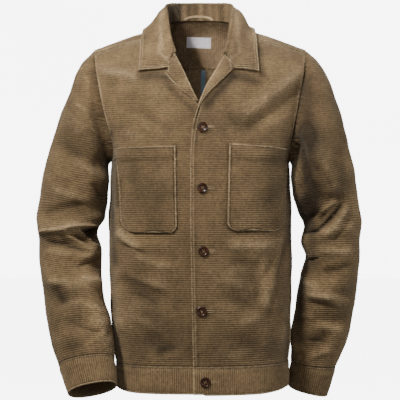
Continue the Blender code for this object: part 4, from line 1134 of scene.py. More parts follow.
def make_mesh(name, points, faces, layers, sharp=50.0):
    """Mesh in metres with per-point layers, from points in millimetres."""
    used, fresh = np.unique([corner for face in faces for corner in face], return_inverse=True)
    fresh = fresh.tolist()
    packed, place = [], 0
    for face in faces:
        packed.append(fresh[place:place + len(face)])
        place += len(face)
    mesh = bpy.data.meshes.new(name)
    mesh.from_pydata((points[used] * MM).tolist(), [], packed)
    for layer, values in layers.items():
        mesh.attributes.new(layer, "FLOAT", "POINT").data.foreach_set(
            "value", values[used].astype(np.float32))
    shape = bmesh.new()
    shape.from_mesh(mesh)
    bmesh.ops.recalc_face_normals(shape, faces=shape.faces[:])
    shape.to_mesh(mesh)
    shape.free()
    mesh.shade_smooth()
    mesh.set_sharp_from_angle(angle=math.radians(sharp))
    return mesh


def cloth_mesh(name, skin, under):
    """Closed wall: the fine face, a coarser wrong side, and the rims between."""
    count = skin.points.shape[0] * skin.points.shape[1]
    points = np.concatenate([skin.points.reshape(-1, 3), under.points.reshape(-1, 3)])
    faces = skin_faces(skin.row_of)
    faces += [[corner + count for corner in face[::-1]] for face in skin_faces(under.row_of)]
    for fine, coarse in zip(rim_lines(skin.row_of), rim_lines(under.row_of)):
        faces += zip_faces(points, fine, coarse + count)
    layers = {
        "cord": np.concatenate([skin.cord.ravel(), under.cord.ravel()]),
        "wear_and_highlight": np.concatenate([skin.wear_and_highlight.ravel(), under.wear_and_highlight.ravel()]),
        # Painted shade, with the patches' painted shade and painted light added
        "painted_shade": np.concatenate([(skin.painted_shade + skin.tone).ravel(), under.painted_shade.ravel()]),
    }
    return make_mesh(name, points, faces, layers)


def ring_mesh(name, skin, under):
    """Closed tube wall whose last column joins its first."""
    rows, cols = skin.points.shape[:2]
    count = rows * cols
    points = np.concatenate([skin.points.reshape(-1, 3), under.reshape(-1, 3)])
    faces = []
    for face in tube_faces(rows, cols):
        faces += [face, [corner + count for corner in face[::-1]]]
    for start in (0, (rows - 1) * cols):
        for col in range(cols):
            here, after = start + col, start + (col + 1) % cols
            faces.append([here, after, after + count, here + count])
    layers = {
        "cord": np.concatenate([skin.cord.ravel(), np.full(count, UNDER_CORD)]),
        "wear_and_highlight": np.concatenate([skin.wear_and_highlight.ravel(), np.full(count, 0.2)]),
        "painted_shade": np.concatenate([skin.painted_shade.ravel(), np.zeros(count)]),
    }
    return make_mesh(name, points, faces, layers)


def placed(name, data):
    """New object in the scene."""
    made = bpy.data.objects.new(name, data)
    bpy.context.scene.collection.objects.link(made)
    return made


def piece(name, mesh, finish, slot, *nodes):
    """Put a shown piece in the scene in place of its solids."""
    made = placed(name, mesh)
    mesh.materials.append(FINISHES[finish])
    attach(made, "root")
    if nodes:
        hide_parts(*nodes)
    return made


def cloth_piece(name, mesh, finish="cord", slot="corduroy"):
    """Put a shown cloth piece in place of its solid."""
    made = piece(name + "_cloth", mesh, finish, slot, name)


def stitch(group, line, pitch=3.6, length=2.7, radius=0.42):
    """Add a row of stitches along points on the cloth."""
    points, normals = line
    place = line_distances(points)
    if place[-1] < pitch:
        return
    starts = np.arange(pitch / 2, place[-1] - length, pitch)
    ends = [read_line(starts + length * share, place, points) for share in (0.0, 0.5, 1.0)]
    up = unit(read_line(starts, place, normals))
    side = unit(np.cross(up, ends[2] - ends[0]))
    rings = []
    for middle, height, wide in zip(ends, (-0.5, 0.2, -0.5), (0.7, 1.0, 0.7)):
        for angle in STITCH_ANGLES:
            turn = math.radians(angle)
            rings.append(middle + side * math.cos(turn) * radius * wide
                         + up * (math.sin(turn) * radius * wide + height))
    STITCHES.setdefault(group, []).append(np.stack(rings, axis=1))


def build_stitches():
    """One piece of sewing thread for each group of seams."""
    sides = len(STITCH_ANGLES)
    for group, rows in STITCHES.items():
        sewn = np.concatenate(rows)
        faces = [[stitch * sides * 3 + corner for corner in face]
                 for stitch in range(len(sewn)) for face in tube_faces(3, sides)]
        mesh = make_mesh("stitches_" + group, sewn.reshape(-1, 3), faces, {})
        piece("stitches_" + group, mesh, "thread", "corduroy")


def level_table(surface, side):
    """Heights of a panel, and their places counted in cords, up its middle."""
    share = np.linspace(0.0, 1.0, 400)
    line = surface(side, 0.5, share)
    return line[:, 2], line_distances(line[:, 1:]) / WALE


def height_place(surface, side, z):
    """Place counted in cords of a height on a panel."""
    height, place = level_table(surface, side)
    above = place[-1] + (z - height[-1]) / WALE
    return np.where(z > height[-1], above, np.interp(z, height, place))


CENTRE_FLAT = (0.12, 0.15)     # share of a panel's width from which it has folds
BESIDE_X = (120.0, 40.0)       # where the sides of the body are full
BESIDE_Z = (-652.0, 25.0)
PANEL_MEASURED = 0.35          # share of the height at which a panel's width is read
PANEL_BACK = 0.6               # room that the wrong side keeps from the fine face
UNDER_WEAR = 0.7               # how much paler the wrong side of a panel is


def panel_face(surface, side, across, shares, phases, name):
    """Fold-shaped face of a body panel, cut at the heights of its cords."""
    columns = surface(side, across[None, :], shares[:, None])
    measure = height_place(surface, side, columns[..., 2])
    levels = cord_levels(0.0, measure.max(), phases)
    share, row_of = level_grid(measure, shares, levels)
    wide = np.broadcast_to(across[None, :], share.shape)
    points = surface(side, wide, share)
    normal = facing(points, normals_at(surface, side, wide, share, NORMAL_STEP), BODY_AXIS)
    skin = Skin(points, normal, row_of)
    fade = ramp(wide, *CENTRE_FLAT)
    folds = fold_rise(points, normal, FOLDS[name]) + ripple(points)
    skin.creased(folds * fade, crease_rise(points, normal, CREASES[name]) * fade)
    skin.toned(PAINTED_LIGHT_PATCHES[name])
    beside = ramp(side * points[..., 0], *BESIDE_X) * ramp(points[..., 2], *BESIDE_Z)
    skin.points[..., 0] += side * swell(points, side, BODY_SWELL) * beside
    return skin, np.broadcast_to(levels[:, None], share.shape)


def torso_panel(kind, surface, side):
    """Right and wrong side of a front or back, before its edges are made, and
    the points of its face without the cords."""
    name = "%s_%s" % (kind, SIDE_NAME[side])
    fine = np.linspace(0.0, 1.0, 2000)
    reach = distances(surface(side, fine[None, :], np.array([[PANEL_MEASURED]])))[0]
    across = np.interp(stops(reach[-1]), reach, fine)
    shares = np.linspace(0.0, 1.0, PANEL_SHARES)
    skin, place = panel_face(surface, side, across, shares, WALE_PHASES, name)
    base = skin.points[::len(WALE_PHASES)]
    skin.cords(place)
    sparse = np.linspace(0.0, 1.0, 32)
    under, _ = panel_face(surface, side, sparse, shares, WALE_PHASES[:1], name)
    under.lift(-SHOWN_CLOTH - PANEL_BACK)
    under.cord[:] = UNDER_CORD
    under.wear_and_highlight = under.wear_and_highlight + UNDER_WEAR
    return name, skin, under, base


class Relief:
    """Smooth height map of the cloth as it is looked at from the front."""

    def __init__(self, grids, low, high, step=3.0):
        tree = surface_tree(*grids)
        self.x = np.arange(low[0], high[0] + step, step)
        self.z = np.arange(low[1], high[1] + step, step)
        depth = np.full((len(self.z), len(self.x)), np.nan)
        for row, col in np.ndindex(depth.shape):
            start = Vector((self.x[col], AHEAD_Y, self.z[row]))
            found = tree.ray_cast(start, Vector((0.0, 1.0, 0.0)))[0]
            if found is not None:
                depth[row, col] = found.y
        depth = np.where(np.isnan(depth), np.nanmax(depth), depth)
        for _ in range(2):
            for axis in (0, 1):
                back = np.concatenate([depth.take([0], axis), depth], axis)
                ahead = np.concatenate([depth, depth.take([-1], axis)], axis)
                before = back.take(range(depth.shape[axis]), axis)
                after = ahead.take(range(1, depth.shape[axis] + 1), axis)
                depth = (before + 2 * depth + after) / 4
        self.depth = depth

    def y(self, x, z):
        """Depth of the cloth at places seen from the front."""
        wide = (np.asarray(x, float) - self.x[0]) / (self.x[1] - self.x[0])
        tall = (np.asarray(z, float) - self.z[0]) / (self.z[1] - self.z[0])
        col = np.clip(np.floor(wide).astype(int), 1, len(self.x) - 3)
        row = np.clip(np.floor(tall).astype(int), 1, len(self.z) - 3)
        total = 0.0
        for down, weight in enumerate(spline_weights(tall - row)):
            for over, share in enumerate(spline_weights(wide - col)):
                total = total + weight * share * self.depth[row + down - 1, col + over - 1]
        return total

    def lay(self, x, z, gap):
        """Points a gap in front of the cloth, and their normals."""
        x, z = np.broadcast_arrays(np.asarray(x, float), np.asarray(z, float))
        lean_x = (self.y(x + 1.0, z) - self.y(x - 1.0, z)) / 2
        lean_z = (self.y(x, z + 1.0) - self.y(x, z - 1.0)) / 2
        normal = unit(np.stack([lean_x, -np.ones_like(lean_x), lean_z], axis=-1))
        return np.stack([x, self.y(x, z), z], axis=-1) + normal * np.asarray(gap)[..., None], normal


def spline_weights(t):
    """Weights of four neighbours for a smooth B-spline between the middle two."""
    return ((1 - t)**3 / 6, (3 * t**3 - 6 * t**2 + 4) / 6,
            (-3 * t**3 + 3 * t**2 + 3 * t + 1) / 6, t**3 / 6)


def sewn(group, skin, distance, at, depth=0.6):
    """A row of stitches at a distance from an edge, with its groove."""
    skin.stitched(distance, at, depth)
    stitch(group, skin.line(distance, at))


def felled(group, skin, edge):
    """A seam whose doubled cloth is held by two rows of stitches."""
    skin.welt(edge)
    for at in SEAM_ROWS:
        sewn(group, skin, edge, at)


def pocket_shadow(side, points):
    """How near points of a front lie to the rim of its pocket, 0 to 1."""
    cut = POCKETS[side]
    line = np.linspace(0.0, 1.0, 60)
    rim = []
    for across, share in ((0.0, line[::-1]), (line, 0.0), (1.0, line)):
        x, z, _ = pocket_place(side, across, share)
        rim.append(np.stack(np.broadcast_arrays(x, z), axis=-1))
    rim = np.concatenate(rim)
    room = 12.0
    near = (points[..., 2] > cut["foot_z"] - room) & (points[..., 2] < max(cut["mouth"]) + room)
    shade = np.zeros(points.shape[:-1])
    away = np.linalg.norm(points[near][:, None, [0, 2]] - rim[None], axis=-1).min(axis=1)
    shade[near] = bell(away, 0.0, 3.0)
    return shade


RELIEF_X = (-24.0, 176.0)      # part of a front whose shape pockets and buttons follow
RELIEF_Z = (-640.0, -150.0)


def build_fronts():
    """Both fronts, and height maps for what lies on them."""
    reliefs = {}
    bases = {}
    for side in (LEFT, RIGHT):
        name, skin, under, base = torso_panel("front", front_surface, side)
        skin.round_off(skin.first)
        edge_row, facing_row = FRONT_EDGE_ROWS
        skin.stitched(skin.first, edge_row, 0.35, 0.0)
        skin.stitched(skin.first, facing_row, 0.4, 0.5)
        skin.pucker(skin.first, skin.low, 0.35)
        for edge in (skin.last, skin.low, skin.high):
            skin.seam(edge)
        for edge in (skin.last, skin.high):
            felled("fronts", skin, edge)
        # Painted shadow round the rim of the pocket
        skin.paint_shade(0.9 * pocket_shadow(side, skin.points))
        skin.pucker(skin.high, skin.first, 0.5)
        skin.pucker(skin.last, skin.low, 0.4)
        skin.pucker(skin.low, skin.first, 0.6, 14.0)
        cloth_piece(name, cloth_mesh(name, skin, under))
        bases[side] = base
        low, high = sorted(side * x for x in RELIEF_X)
        reliefs[side] = Relief([base], (low, RELIEF_Z[0]), (high, RELIEF_Z[1]))
    return bases, reliefs


def build_backs():
    """Both halves of the back, sewn together down the centre."""
    bases = {}
    for side in (LEFT, RIGHT):
        name, skin, under, base = torso_panel("back", back_surface, side)
        for edge in (skin.first, skin.last, skin.low, skin.high):
            skin.seam(edge)
        sewn("backs", skin, skin.first, SEAM_ROWS[0])
        felled("backs", skin, skin.last)
        skin.pucker(skin.low, skin.first, 0.6, 14.0)
        skin.pucker(skin.high, skin.first, 0.45)
        skin.pucker(skin.last, skin.low, 0.4)
        cloth_piece(name, cloth_mesh(name, skin, under))
        bases[side] = base
    return bases


YOKE_LEAN = 0.9        # how steeply the yoke's cords climb over the shoulder
YOKE_START = -30.0     # place over the shoulder of the yoke's foremost point
YOKE_COLLAR = 36.0     # place up to which its neckline is a seam that shows
YOKE_BACK = 0.3        # room that its wrong side keeps from the fine face
LINING_BACK = 0.4      # room between the inside yoke and the seam's gap


def yoke_rims():
    """Rims of the yoke's half: the neckline and the shoulder seam with the
    armhole, both from the front backwards, and the back seam from the centre."""
    share = np.linspace(0.86, 0.0, 120)
    inner = glide(NECK[:, 0], NECK[:, 1:], share)
    fine = np.linspace(0.0, 1.0, 160)
    corner = YOKE_LINES[-1, 0]
    arm = np.concatenate([yoke_surface(LEFT, fine, 0.0),
                          yoke_surface(LEFT, 1.0, fine * corner)[1:]])
    seam = yoke_surface(LEFT, 1.0, 1.0 - fine * (1.0 - corner))
    seam[0, 0] = 0.0
    return inner, arm, seam


def over_shoulder(points):
    """How far back over the shoulder points lie."""
    return points[..., 1] - YOKE_LEAN * points[..., 2]


def yoke_profile(tree):
    """Places over the shoulder against lengths along the cloth."""
    place = np.linspace(YOKE_START, 165.0, 200)
    points = drop_on(tree, np.full(200, 95.0), place)
    good = ~np.isnan(points[:, 1])
    place, points = place[good], points[good]
    return place, line_distances(points)


def drop_on(tree, x, place):
    """Points of the yoke at given x and place over the shoulder."""
    x, place = np.broadcast_arrays(x, place)
    points = np.full(x.shape + (3,), np.nan)
    fall = Vector((0.0, -YOKE_LEAN, -1.0)).normalized()
    for index in np.ndindex(x.shape):
        start = Vector((x[index], place[index] + YOKE_LEAN * 300.0, 300.0))
        found = tree.ray_cast(start, fall)[0]
        if found is not None:
            points[index] = found
    return points


def yoke_half(places, shares):
    """Grid over one half of the yoke, a row for each place over the shoulder.
    Rows that reach past the back seam end on it."""
    outward = np.linspace(0.0, 1.0, 90)[:, None]
    grid = yoke_surface(LEFT, outward, np.linspace(0.0, 1.0, 150)[None, :])
    tree = surface_tree(grid)
    inner, arm, seam = yoke_rims()
    start = read_line(places, over_shoulder(inner), inner)
    start[places > over_shoulder(inner[-1]), 0] = 0.0
    order = np.maximum.accumulate(over_shoulder(arm) + np.arange(len(arm)) * 1e-7)
    end = read_line(places, order, arm)
    x = start[:, None, 0] + (end[:, None, 0] - start[:, None, 0]) * shares[None, :]
    limit = np.interp(x, seam[:, 0], over_shoulder(seam))
    past = places[:, None] >= limit
    points = drop_on(tree, np.clip(x, 0.05, None), np.minimum(places[:, None], limit))
    points[..., 0] = x
    ends = end[:, None] + (start - end)[:, None] * (1 - shares[None, :, None])
    points = np.where(np.isnan(points), ends, points)
    neck = places <= over_shoulder(inner[-1])
    points[neck, 0] = start[neck]
    points[:, -1] = end
    on_seam = read_line(x, seam[:, 0], seam)
    for _ in range(3):
        smooth = smoothed(points.transpose(1, 0, 2)).transpose(1, 0, 2)
        points[:, 1:-1, 1:] = smooth[..., 1:]
        points[1:-1, 1:-1, 1:] = smoothed(points)[:, 1:-1, 1:]
        points[past] = on_seam[past]
    row_of = np.tile(np.arange(len(places))[:, None], (1, len(shares)))
    for col in range(len(shares)):
        first = int(np.argmax(past[:, col]))
        if past[first, col]:
            row_of[first:, col] = first
    spread = points + 0.0
    spread[..., 2] -= np.where(past, (places[:, None] - limit) / YOKE_LEAN, 0.0)
    normal = facing(points, normals_of(spread), SHOULDER_AXIS)
    return points, normal, row_of


def twin_mesh(name, skin, under):
    """A closed wall and its mirror image, as one mesh."""
    mesh = cloth_mesh(name, skin, under)
    shape = bmesh.new()
    shape.from_mesh(mesh)
    made = bmesh.ops.duplicate(shape, geom=shape.verts[:] + shape.edges[:] + shape.faces[:])
    for vert in [item for item in made["geom"] if isinstance(item, bmesh.types.BMVert)]:
        vert.co.x = -vert.co.x
    bmesh.ops.recalc_face_normals(shape, faces=shape.faces[:])
    shape.to_mesh(mesh)
    shape.free()
    return mesh


def both_sides(lines):
    """The same line on both sides of the garment."""
    points, normal = lines
    yield points, normal
    yield mirrored(points, -1), mirrored(normal, -1)


def build_yoke():
    """Yoke in one piece over both shoulders, made as a half and its mirror image."""
    grid = yoke_surface(LEFT, np.linspace(0, 1, 60)[:, None], np.linspace(0, 1, 100)[None, :])
    place, length = yoke_profile(surface_tree(grid))
    highest = over_shoulder(yoke_rims()[2]).max()
    levels = cord_levels(0.0, length[-1] / WALE + 1)
    beyond = place[-1] + (levels * WALE - length[-1])
    rows = np.where(levels * WALE > length[-1], beyond, np.interp(levels * WALE, length, place))
    rows = np.unique(np.clip(rows, YOKE_START + 0.5, highest + 0.05))
    counted = np.interp(rows, place, length) / WALE
    shares = np.interp(stops(190.0), [0.0, 190.0], [0.0, 1.0])
    points, normal, row_of = yoke_half(rows, shares)
    skin = Skin(points, normal, row_of)
    skin.edge = np.minimum(skin.last, skin.high)
    skin.creased(ripple(points))
    skin.cords(counted[:, None])
    skin.seam(skin.edge)
    skin.seam(skin.first + np.clip(rows[:, None] - YOKE_COLLAR, 0, None))
    skin.welt(skin.edge)
    for at in SEAM_ROWS:
        skin.stitched(skin.edge, at)
        for distance in (skin.last, skin.high):
            for line in both_sides(skin.line(distance, at)):
                stitch("yoke", line)
    skin.pucker(skin.edge, skin.low + points[..., 0], 0.4)
    coarse = every(len(rows), 8)
    thin = every(len(shares), 3)
    outward = normal[coarse][:, thin]
    under = Skin(points[coarse][:, thin] - outward * (SHOWN_CLOTH + YOKE_BACK), outward)
    cloth_piece("yoke", twin_mesh("yoke", skin, under))
    return grid


def build_yoke_lining():
    """Inside yoke.  Its cords run down the back, so its rows of points do too."""
    outward = np.linspace(0.0, 1.0, 90)[:, None]
    tree = surface_tree(yoke_surface(LEFT, outward, np.linspace(0.0, 1.0, 150)[None, :]))
    inner, arm, seam = yoke_rims()
    width = seam[-1, 0]
    places = cord_levels(0.0, width / WALE)
    x = places[(places >= 0.0) & (places * WALE < width)] * WALE
    front = arm[np.argsort(arm[:, 0])]
    front = front[over_shoulder(front) < 60.0]
    top = np.where(x < inner[0, 0],
                   np.interp(x, inner[::-1, 0], over_shoulder(inner)[::-1]),
                   np.interp(x, front[:, 0], over_shoulder(front)))
    foot = np.interp(x, seam[:, 0], over_shoulder(seam))
    shares = np.linspace(0.0, 1.0, 46)[None, :]
    points = drop_on(tree, np.clip(x, 0.05, None)[:, None],
                     top[:, None] + (foot - top)[:, None] * shares)
    for axis in (1, 2):
        for row in points[..., axis]:
            bad = np.isnan(row)
            row[bad] = np.interp(np.flatnonzero(bad), np.flatnonzero(~bad), row[~bad])
    points[..., 0] = x[:, None]
    for _ in range(3):
        smooth = smoothed(points.transpose(1, 0, 2)).transpose(1, 0, 2)
        points[:, 1:-1, 1:] = smooth[..., 1:]
    normal = facing(points, normals_of(points), SHOULDER_AXIS)
    outside = points - normal * (SHOWN_CLOTH + SEAM + LINING_BACK)
    skin = Skin(outside - normal * LINING, -normal)
    skin.edge = np.minimum(skin.first, skin.last)
    skin.lift(ripple(points, 0.8))
    skin.cords((x / WALE)[:, None], 0.5)
    skin.seam(skin.first)
    skin.round_off(skin.last, 0.6)
    coarse = every(len(x), 6)
    low = Skin(outside[coarse][:, ::5], -normal[coarse][:, ::5])
    cloth_piece("yoke_lining", twin_mesh("yoke_lining", skin, low), "lining", "corduroy_inside")
    return points - normal * (SHOWN_CLOTH + SEAM + LINING_BACK + LINING), normal


BODY_SWELL, SLEEVE_SWELL = 2, 3        # columns of SWELLS


def swell(points, side, column):
    """How far the cloth comes at the height of each point."""
    rise = np.zeros(points.shape[:-1])
    for row in SWELLS:
        if row[0] == side:
            rise += row[column] * bell(points[..., 2], row[1], row[4])
    return rise


def sleeve_axis(side):
    """Direction down the upper arm."""
    return unit(np.array([38.0 * side, -14.0, -290.0]))


ELBOW = (0.30, 0.30)           # share of the sleeve where its cords start to follow the
                               # rings, and over how much of it they turn


def sleeve_measure(side, degrees, shares):
    """Places along a sleeve, straight across the arm above the elbow and
    round its rings below it."""
    axis = sleeve_axis(side)
    rings = SLEEVE_RINGS[side]
    row = glide(rings[:, 0], rings[:, 1:], shares)
    middle = np.stack([side * (row[:, 0] + row[:, 2]) / 2, row[:, 4],
                       (row[:, 1] + row[:, 3]) / 2], axis=-1)
    middle[0] = mirrored(ARM_CENTRE, side)
    ring_length = line_distances(middle)
    straight = (sleeve_surface(side, degrees, shares[:, None]) - middle[0]) @ axis
    offset = np.interp(sum(ELBOW) - ELBOW[1] / 2, shares, (middle - middle[0]) @ axis - ring_length)
    blend = eased(ramp(shares, *ELBOW))[:, None]
    return ((1 - blend) * straight + blend * (ring_length[:, None] + offset)) / WALE


SLEEVE_FLAT = (1.0, -0.06)     # share of the sleeve where its folds end, towards the cuff
SLEEVE_FULL = (1.0, -0.12)     # the same for its fullness
SLEEVE_INSIDE = 40.0           # how far from its middle a sleeve's inner side is full
SLEEVE_OVER = (-190.0, 10.0)   # height above which its head turns inward
SLEEVE_MEASURED = 0.4          # share of the length at which a sleeve's width is read


def sleeve_face(side, spans, t, shares, phases):
    """Fold-shaped face of a sleeve piece between its two seams."""
    def degrees_at(share):
        """Angles of a row's points, from one seam to the other."""
        start, end = (np.interp(share, [0.0, 1.0], span) for span in spans)
        return start + (end - start) * t

    columns = degrees_at(shares[:, None])
    measure = sleeve_measure(side, columns, shares)
    levels = cord_levels(measure.min(), measure.max(), phases)
    share, row_of = level_grid(measure, shares, levels)
    degrees = degrees_at(share)
    points = sleeve_surface(side, degrees, share)
    normal = normals_at(sleeve_surface, side, degrees, share, SLEEVE_STEP)
    opposite = sleeve_surface(side, degrees + 180.0, share)
    normal = facing(points, normal, (points + opposite) / 2)
    skin = Skin(points, normal, row_of)
    fade = ramp(share, *SLEEVE_FLAT)
    name = "sleeve_" + SIDE_NAME[side]
    folds = fold_rise(points, normal, FOLDS[name]) + ripple(points)
    skin.creased(folds * fade, crease_rise(points, normal, CREASES[name]) * fade, 4.0)
    skin.toned(PAINTED_LIGHT_PATCHES[name])
    within = ramp(side * (opposite - points)[..., 0], 0.0, SLEEVE_INSIDE)
    within = within * ramp(share, *SLEEVE_FULL)
    head = bell(skin.low, 0.0, 3.0)
    skin.points[..., 0] -= side * swell(points, side, SLEEVE_SWELL) * within
    over = ramp(points[..., 2], *SLEEVE_OVER)
    inward = over[..., None] * np.array([-side, 0.0, 0.0]) - sleeve_axis(side)
    skin.points = skin.points + SLEEVE_TURN * inward * head[..., None]
    return skin, np.broadcast_to(levels[:, None], share.shape)


def build_sleeve(side, part, spans):
    """Top or under piece of a sleeve between its two seams, which lie at spans
    of degrees from the armhole to the cuff."""
    name = "sleeve_%s_%s" % (SIDE_NAME[side], part)
    shares = np.linspace(0.0, 1.0, PANEL_SHARES)
    fine = np.linspace(0.0, 1.0, 1500)
    start, end = (np.interp(SLEEVE_MEASURED, [0.0, 1.0], span) for span in spans)
    line = sleeve_surface(side, start + (end - start) * fine[None, :],
                          np.array([[SLEEVE_MEASURED]]))
    reach = distances(line)[0]
    t = np.interp(stops(reach[-1]), reach, fine)[None, :]
    skin, place = sleeve_face(side, spans, t, shares, WALE_PHASES)
    skin.cords(place)
    for edge in (skin.first, skin.last, skin.low, skin.high):
        skin.seam(edge)
    hind_edge = skin.first if part == "top" else skin.last
    for at in SEAM_ROWS if part == "top" else SEAM_ROWS[:1]:
        sewn("sleeves", skin, hind_edge, at)
    skin.pucker(hind_edge, skin.low, 0.4)
    skin.pucker(skin.high, skin.first, 0.8, 16.0)
    skin.pucker(skin.low, skin.first, 0.3, 6.0)
    coarse = np.linspace(0.0, 1.0, 24)[None, :]
    under, _ = sleeve_face(side, spans, coarse, shares, WALE_PHASES[:1])
    under.lift(-SHOWN_CLOTH - 1.6 * np.clip(under.edge / 4.0, 0, 1))
    under.cord[:] = UNDER_CORD
    # The wrong side is painted shaded near the armhole
    under.paint_shade(bell(under.low, 0.0, 8.0))
    cloth_piece(name, cloth_mesh(name, skin, under))


def build_sleeves():
    """Top and under sleeves, which meet at the hind and the inner seam."""
    for side in (LEFT, RIGHT):
        hind, inner = HIND_SEAM[side], INNER_SEAM[side]
        around = (hind[0] + 360.0, hind[1] + 360.0)
        build_sleeve(side, "top", (hind, inner))
        build_sleeve(side, "under", (inner, around))


BAND_EDGES = np.array([0.0, 0.6, 1.3, 2.1, 2.9, 3.7, 5.0])   # lines beside a band's edge
BAND_STEP = 4.5                # how far apart they are in its middle
BAND_RISE = 0.7                # height of its pile


def band_stops(height):
    """Rows of a narrow band: close together where it is stitched."""
    first, last = BAND_EDGES[-1], height - BAND_EDGES[-1]
    count = max(int((last - first) / BAND_STEP), 2)
    middle = np.linspace(first, last, count + 1)[1:-1]
    return np.concatenate([BAND_EDGES, middle, height - BAND_EDGES[::-1]])


RING_EDGES = [0, 1, 4]         # columns of a ring's outer edge: x, z and y


def build_cuffs():
    """Cuffs all round, with cords that run along the arm."""
    for side in (LEFT, RIGHT):
        top, end = SLEEVE_RINGS[side][-1, 1:], CUFF_END[side]
        fine = np.linspace(0.0, 360.0, 1441)
        values = np.broadcast_to((top + end) / 2, (len(fine), len(top)))
        reach = line_distances(ring(values, fine))
        cords = round(reach[-1] / WALE)
        places = (np.arange(cords)[:, None] + WALE_PHASES[None, :]).ravel()
        degrees = np.interp(places / cords * reach[-1], reach, fine)[None, :]
        height = np.linalg.norm((top - end)[RING_EDGES])
        rows = band_stops(height)[:, None]
        share = rows / height
        wide = np.broadcast_to(degrees, (len(rows), degrees.shape[1]))
        values = np.broadcast_to(top + (end - top) * share[..., None], wide.shape + (len(top),))
        points = mirrored(ring(values, wide), side)
        nudge = ring(values, wide + 1.0) - ring(values, wide - 1.0)
        down = (ring(np.broadcast_to(end, values.shape), wide)
                - ring(np.broadcast_to(top, values.shape), wide))
        normal = unit(np.cross(mirrored(nudge, side), mirrored(down, side)))
        normal = facing(points, normal, points.mean(axis=1, keepdims=True))
        skin = Skin(points, normal)
        low = height - rows
        skin.edge = np.minimum(rows, low)
        around = places[None, :] * WALE
        roll = bell(rows, 10.0 + 4.0 * np.sin(around / 31.0), 5.0)
        skin.lift(1.2 * np.sin(np.pi * share) + 1.4 * roll * np.sin(around / 37.0 + 0.6))
        skin.cords(places[None, :], BAND_RISE)
        skin.cord = skin.cord**BAND_GROOVE_SHADE
        skin.seam(rows)
        skin.round_off(low, 1.1)
        skin.pucker(rows, around, 0.5, 6.0)
        for edge in (rows, low):
            skin.stitched(edge, BAND_ROW, 0.5)
        for at in (BAND_ROW, height - BAND_ROW):
            row = int(np.argmin(np.abs(rows[:, 0] - at)))
            stitch("cuffs", (skin.points[row], skin.normal[row]))
        name = "cuff_" + SIDE_NAME[side]
        under = points - normal * DOUBLE
        under[-2:] += normal[-2:] * 0.5
        cloth_piece(name, ring_mesh(name, skin, under))


def band_path():
    """Line round the hem, from the left front edge round the back."""
    front = np.linspace(0.0, 1.0, 300)
    back = np.linspace(0.0, 1.0, 240)
    return np.concatenate([
        front_surface(LEFT, front, 0.0),
        back_surface(LEFT, back[::-1], 0.0)[1:],
        back_surface(RIGHT, back, 0.0)[1:],
        front_surface(RIGHT, front[::-1], 0.0)[1:],
    ])


BAND_ENDS = np.array([0.0, 0.5, 1.1, 2.0, 3.0])    # lines beside its two ends
BAND_COARSE = 150              # columns of its wrong side


def build_waistband():
    """Band round the hem.  Its left end laps over its right end in front."""
    path = band_path()
    reach = line_distances(path)
    places = cord_levels(0.0, reach[-1] / WALE) * WALE
    places = places[(places > BAND_ENDS[-1]) & (places < reach[-1] - BAND_ENDS[-1])]
    places = np.concatenate([BAND_ENDS, places, reach[-1] - BAND_ENDS[::-1]])
    line = read_line(places, reach, path)
    heading = read_line(places + 4, reach, path) - read_line(places - 4, reach, path)
    out = unit(np.stack([heading[:, 1], -heading[:, 0], 0 * places], axis=-1))
    drop = np.where(line[:, 0] > path[-1, 0], HEM_DROP[LEFT], HEM_DROP[RIGHT])
    start, length = HEM_DROP_Y
    low = HEM_Z - drop * ramp(line[:, 1], start, -length)
    height = HEM_SEAM_Z - HEM_Z
    rows = band_stops(height)[:, None]
    points = np.repeat(line[None], len(rows), axis=0)
    points[..., 2] = HEM_SEAM_Z + (low - HEM_SEAM_Z)[None, :] * rows / height
    half = (LAP - SEAM) / 2
    normal = np.broadcast_to(out, points.shape)
    middle = points - normal * CLOTH / 2
    skin = Skin(middle + normal * half, normal)
    side_edge = np.minimum(skin.first, skin.last)
    skin.edge = np.minimum(np.minimum(skin.low, skin.high), side_edge)
    flat_ends = np.clip(side_edge / 60.0 - 0.3, 0, 1)
    wave = (np.sin(places / 29.0) + 0.6 * np.sin(places / 13.0 + 1.1))[None, :]
    skin.lift(1.3 * np.sin(np.pi * rows / height) * (0.6 + 0.4 * wave) * flat_ends)
    skin.cords(places[None, :] / WALE, BAND_RISE)
    skin.cord = skin.cord**BAND_GROOVE_SHADE
    skin.seam(skin.low)
    skin.round_off(skin.high, 1.3)
    skin.round_off(skin.first, 1.1)
    skin.round_off(skin.last, 1.1)
    skin.pucker(skin.low, skin.first, 0.6, 7.0)
    skin.pucker(skin.high, skin.first, 0.35, 7.0)
    # A soft groove 13 mm below the top with painted shade in it, and a paler band 8 mm below the top
    groove = np.exp(-((skin.low - 13.0 - 2.0 * wave) / 3.0)**2)
    groove = groove * (0.6 + 0.4 * np.sin(places / 19.0))
    skin.lift(-0.8 * groove * flat_ends)
    skin.paint_shade(0.45 * groove * flat_ends)
    skin.lighten_pile(0.35 * bell(skin.low, 8.0, 3.0))
    for edge in (skin.low, skin.high):
        sewn("waistband", skin, edge, BAND_ROW, 0.5)
    thin = np.unique(np.linspace(0, len(places) - 1, BAND_COARSE).astype(int))
    under = Skin((middle - normal * half)[::2][:, thin], normal[::2][:, thin])
    under.cord[:] = 0.55
    cloth_piece("waistband", cloth_mesh("waistband", skin, under))
    return (middle + normal * half)[:, ::3]


POCKET_STOPS = np.array([0.0, 0.7, 1.5, 2.2, 3.0, 4.5, 6.5, 7.6, 9.0])
POCKET_STEP = 3.6              # how far apart its other lines are
POCKET_PUFF = 2.5              # how far its mouth stands open
POCKET_AIR = 1.2               # room behind it
POCKET_WALL = 0.8              # share of the doubled cloth's thickness that it has
ROUGH_CORD = 0.5               # height of the pile on the wrong side of small pieces


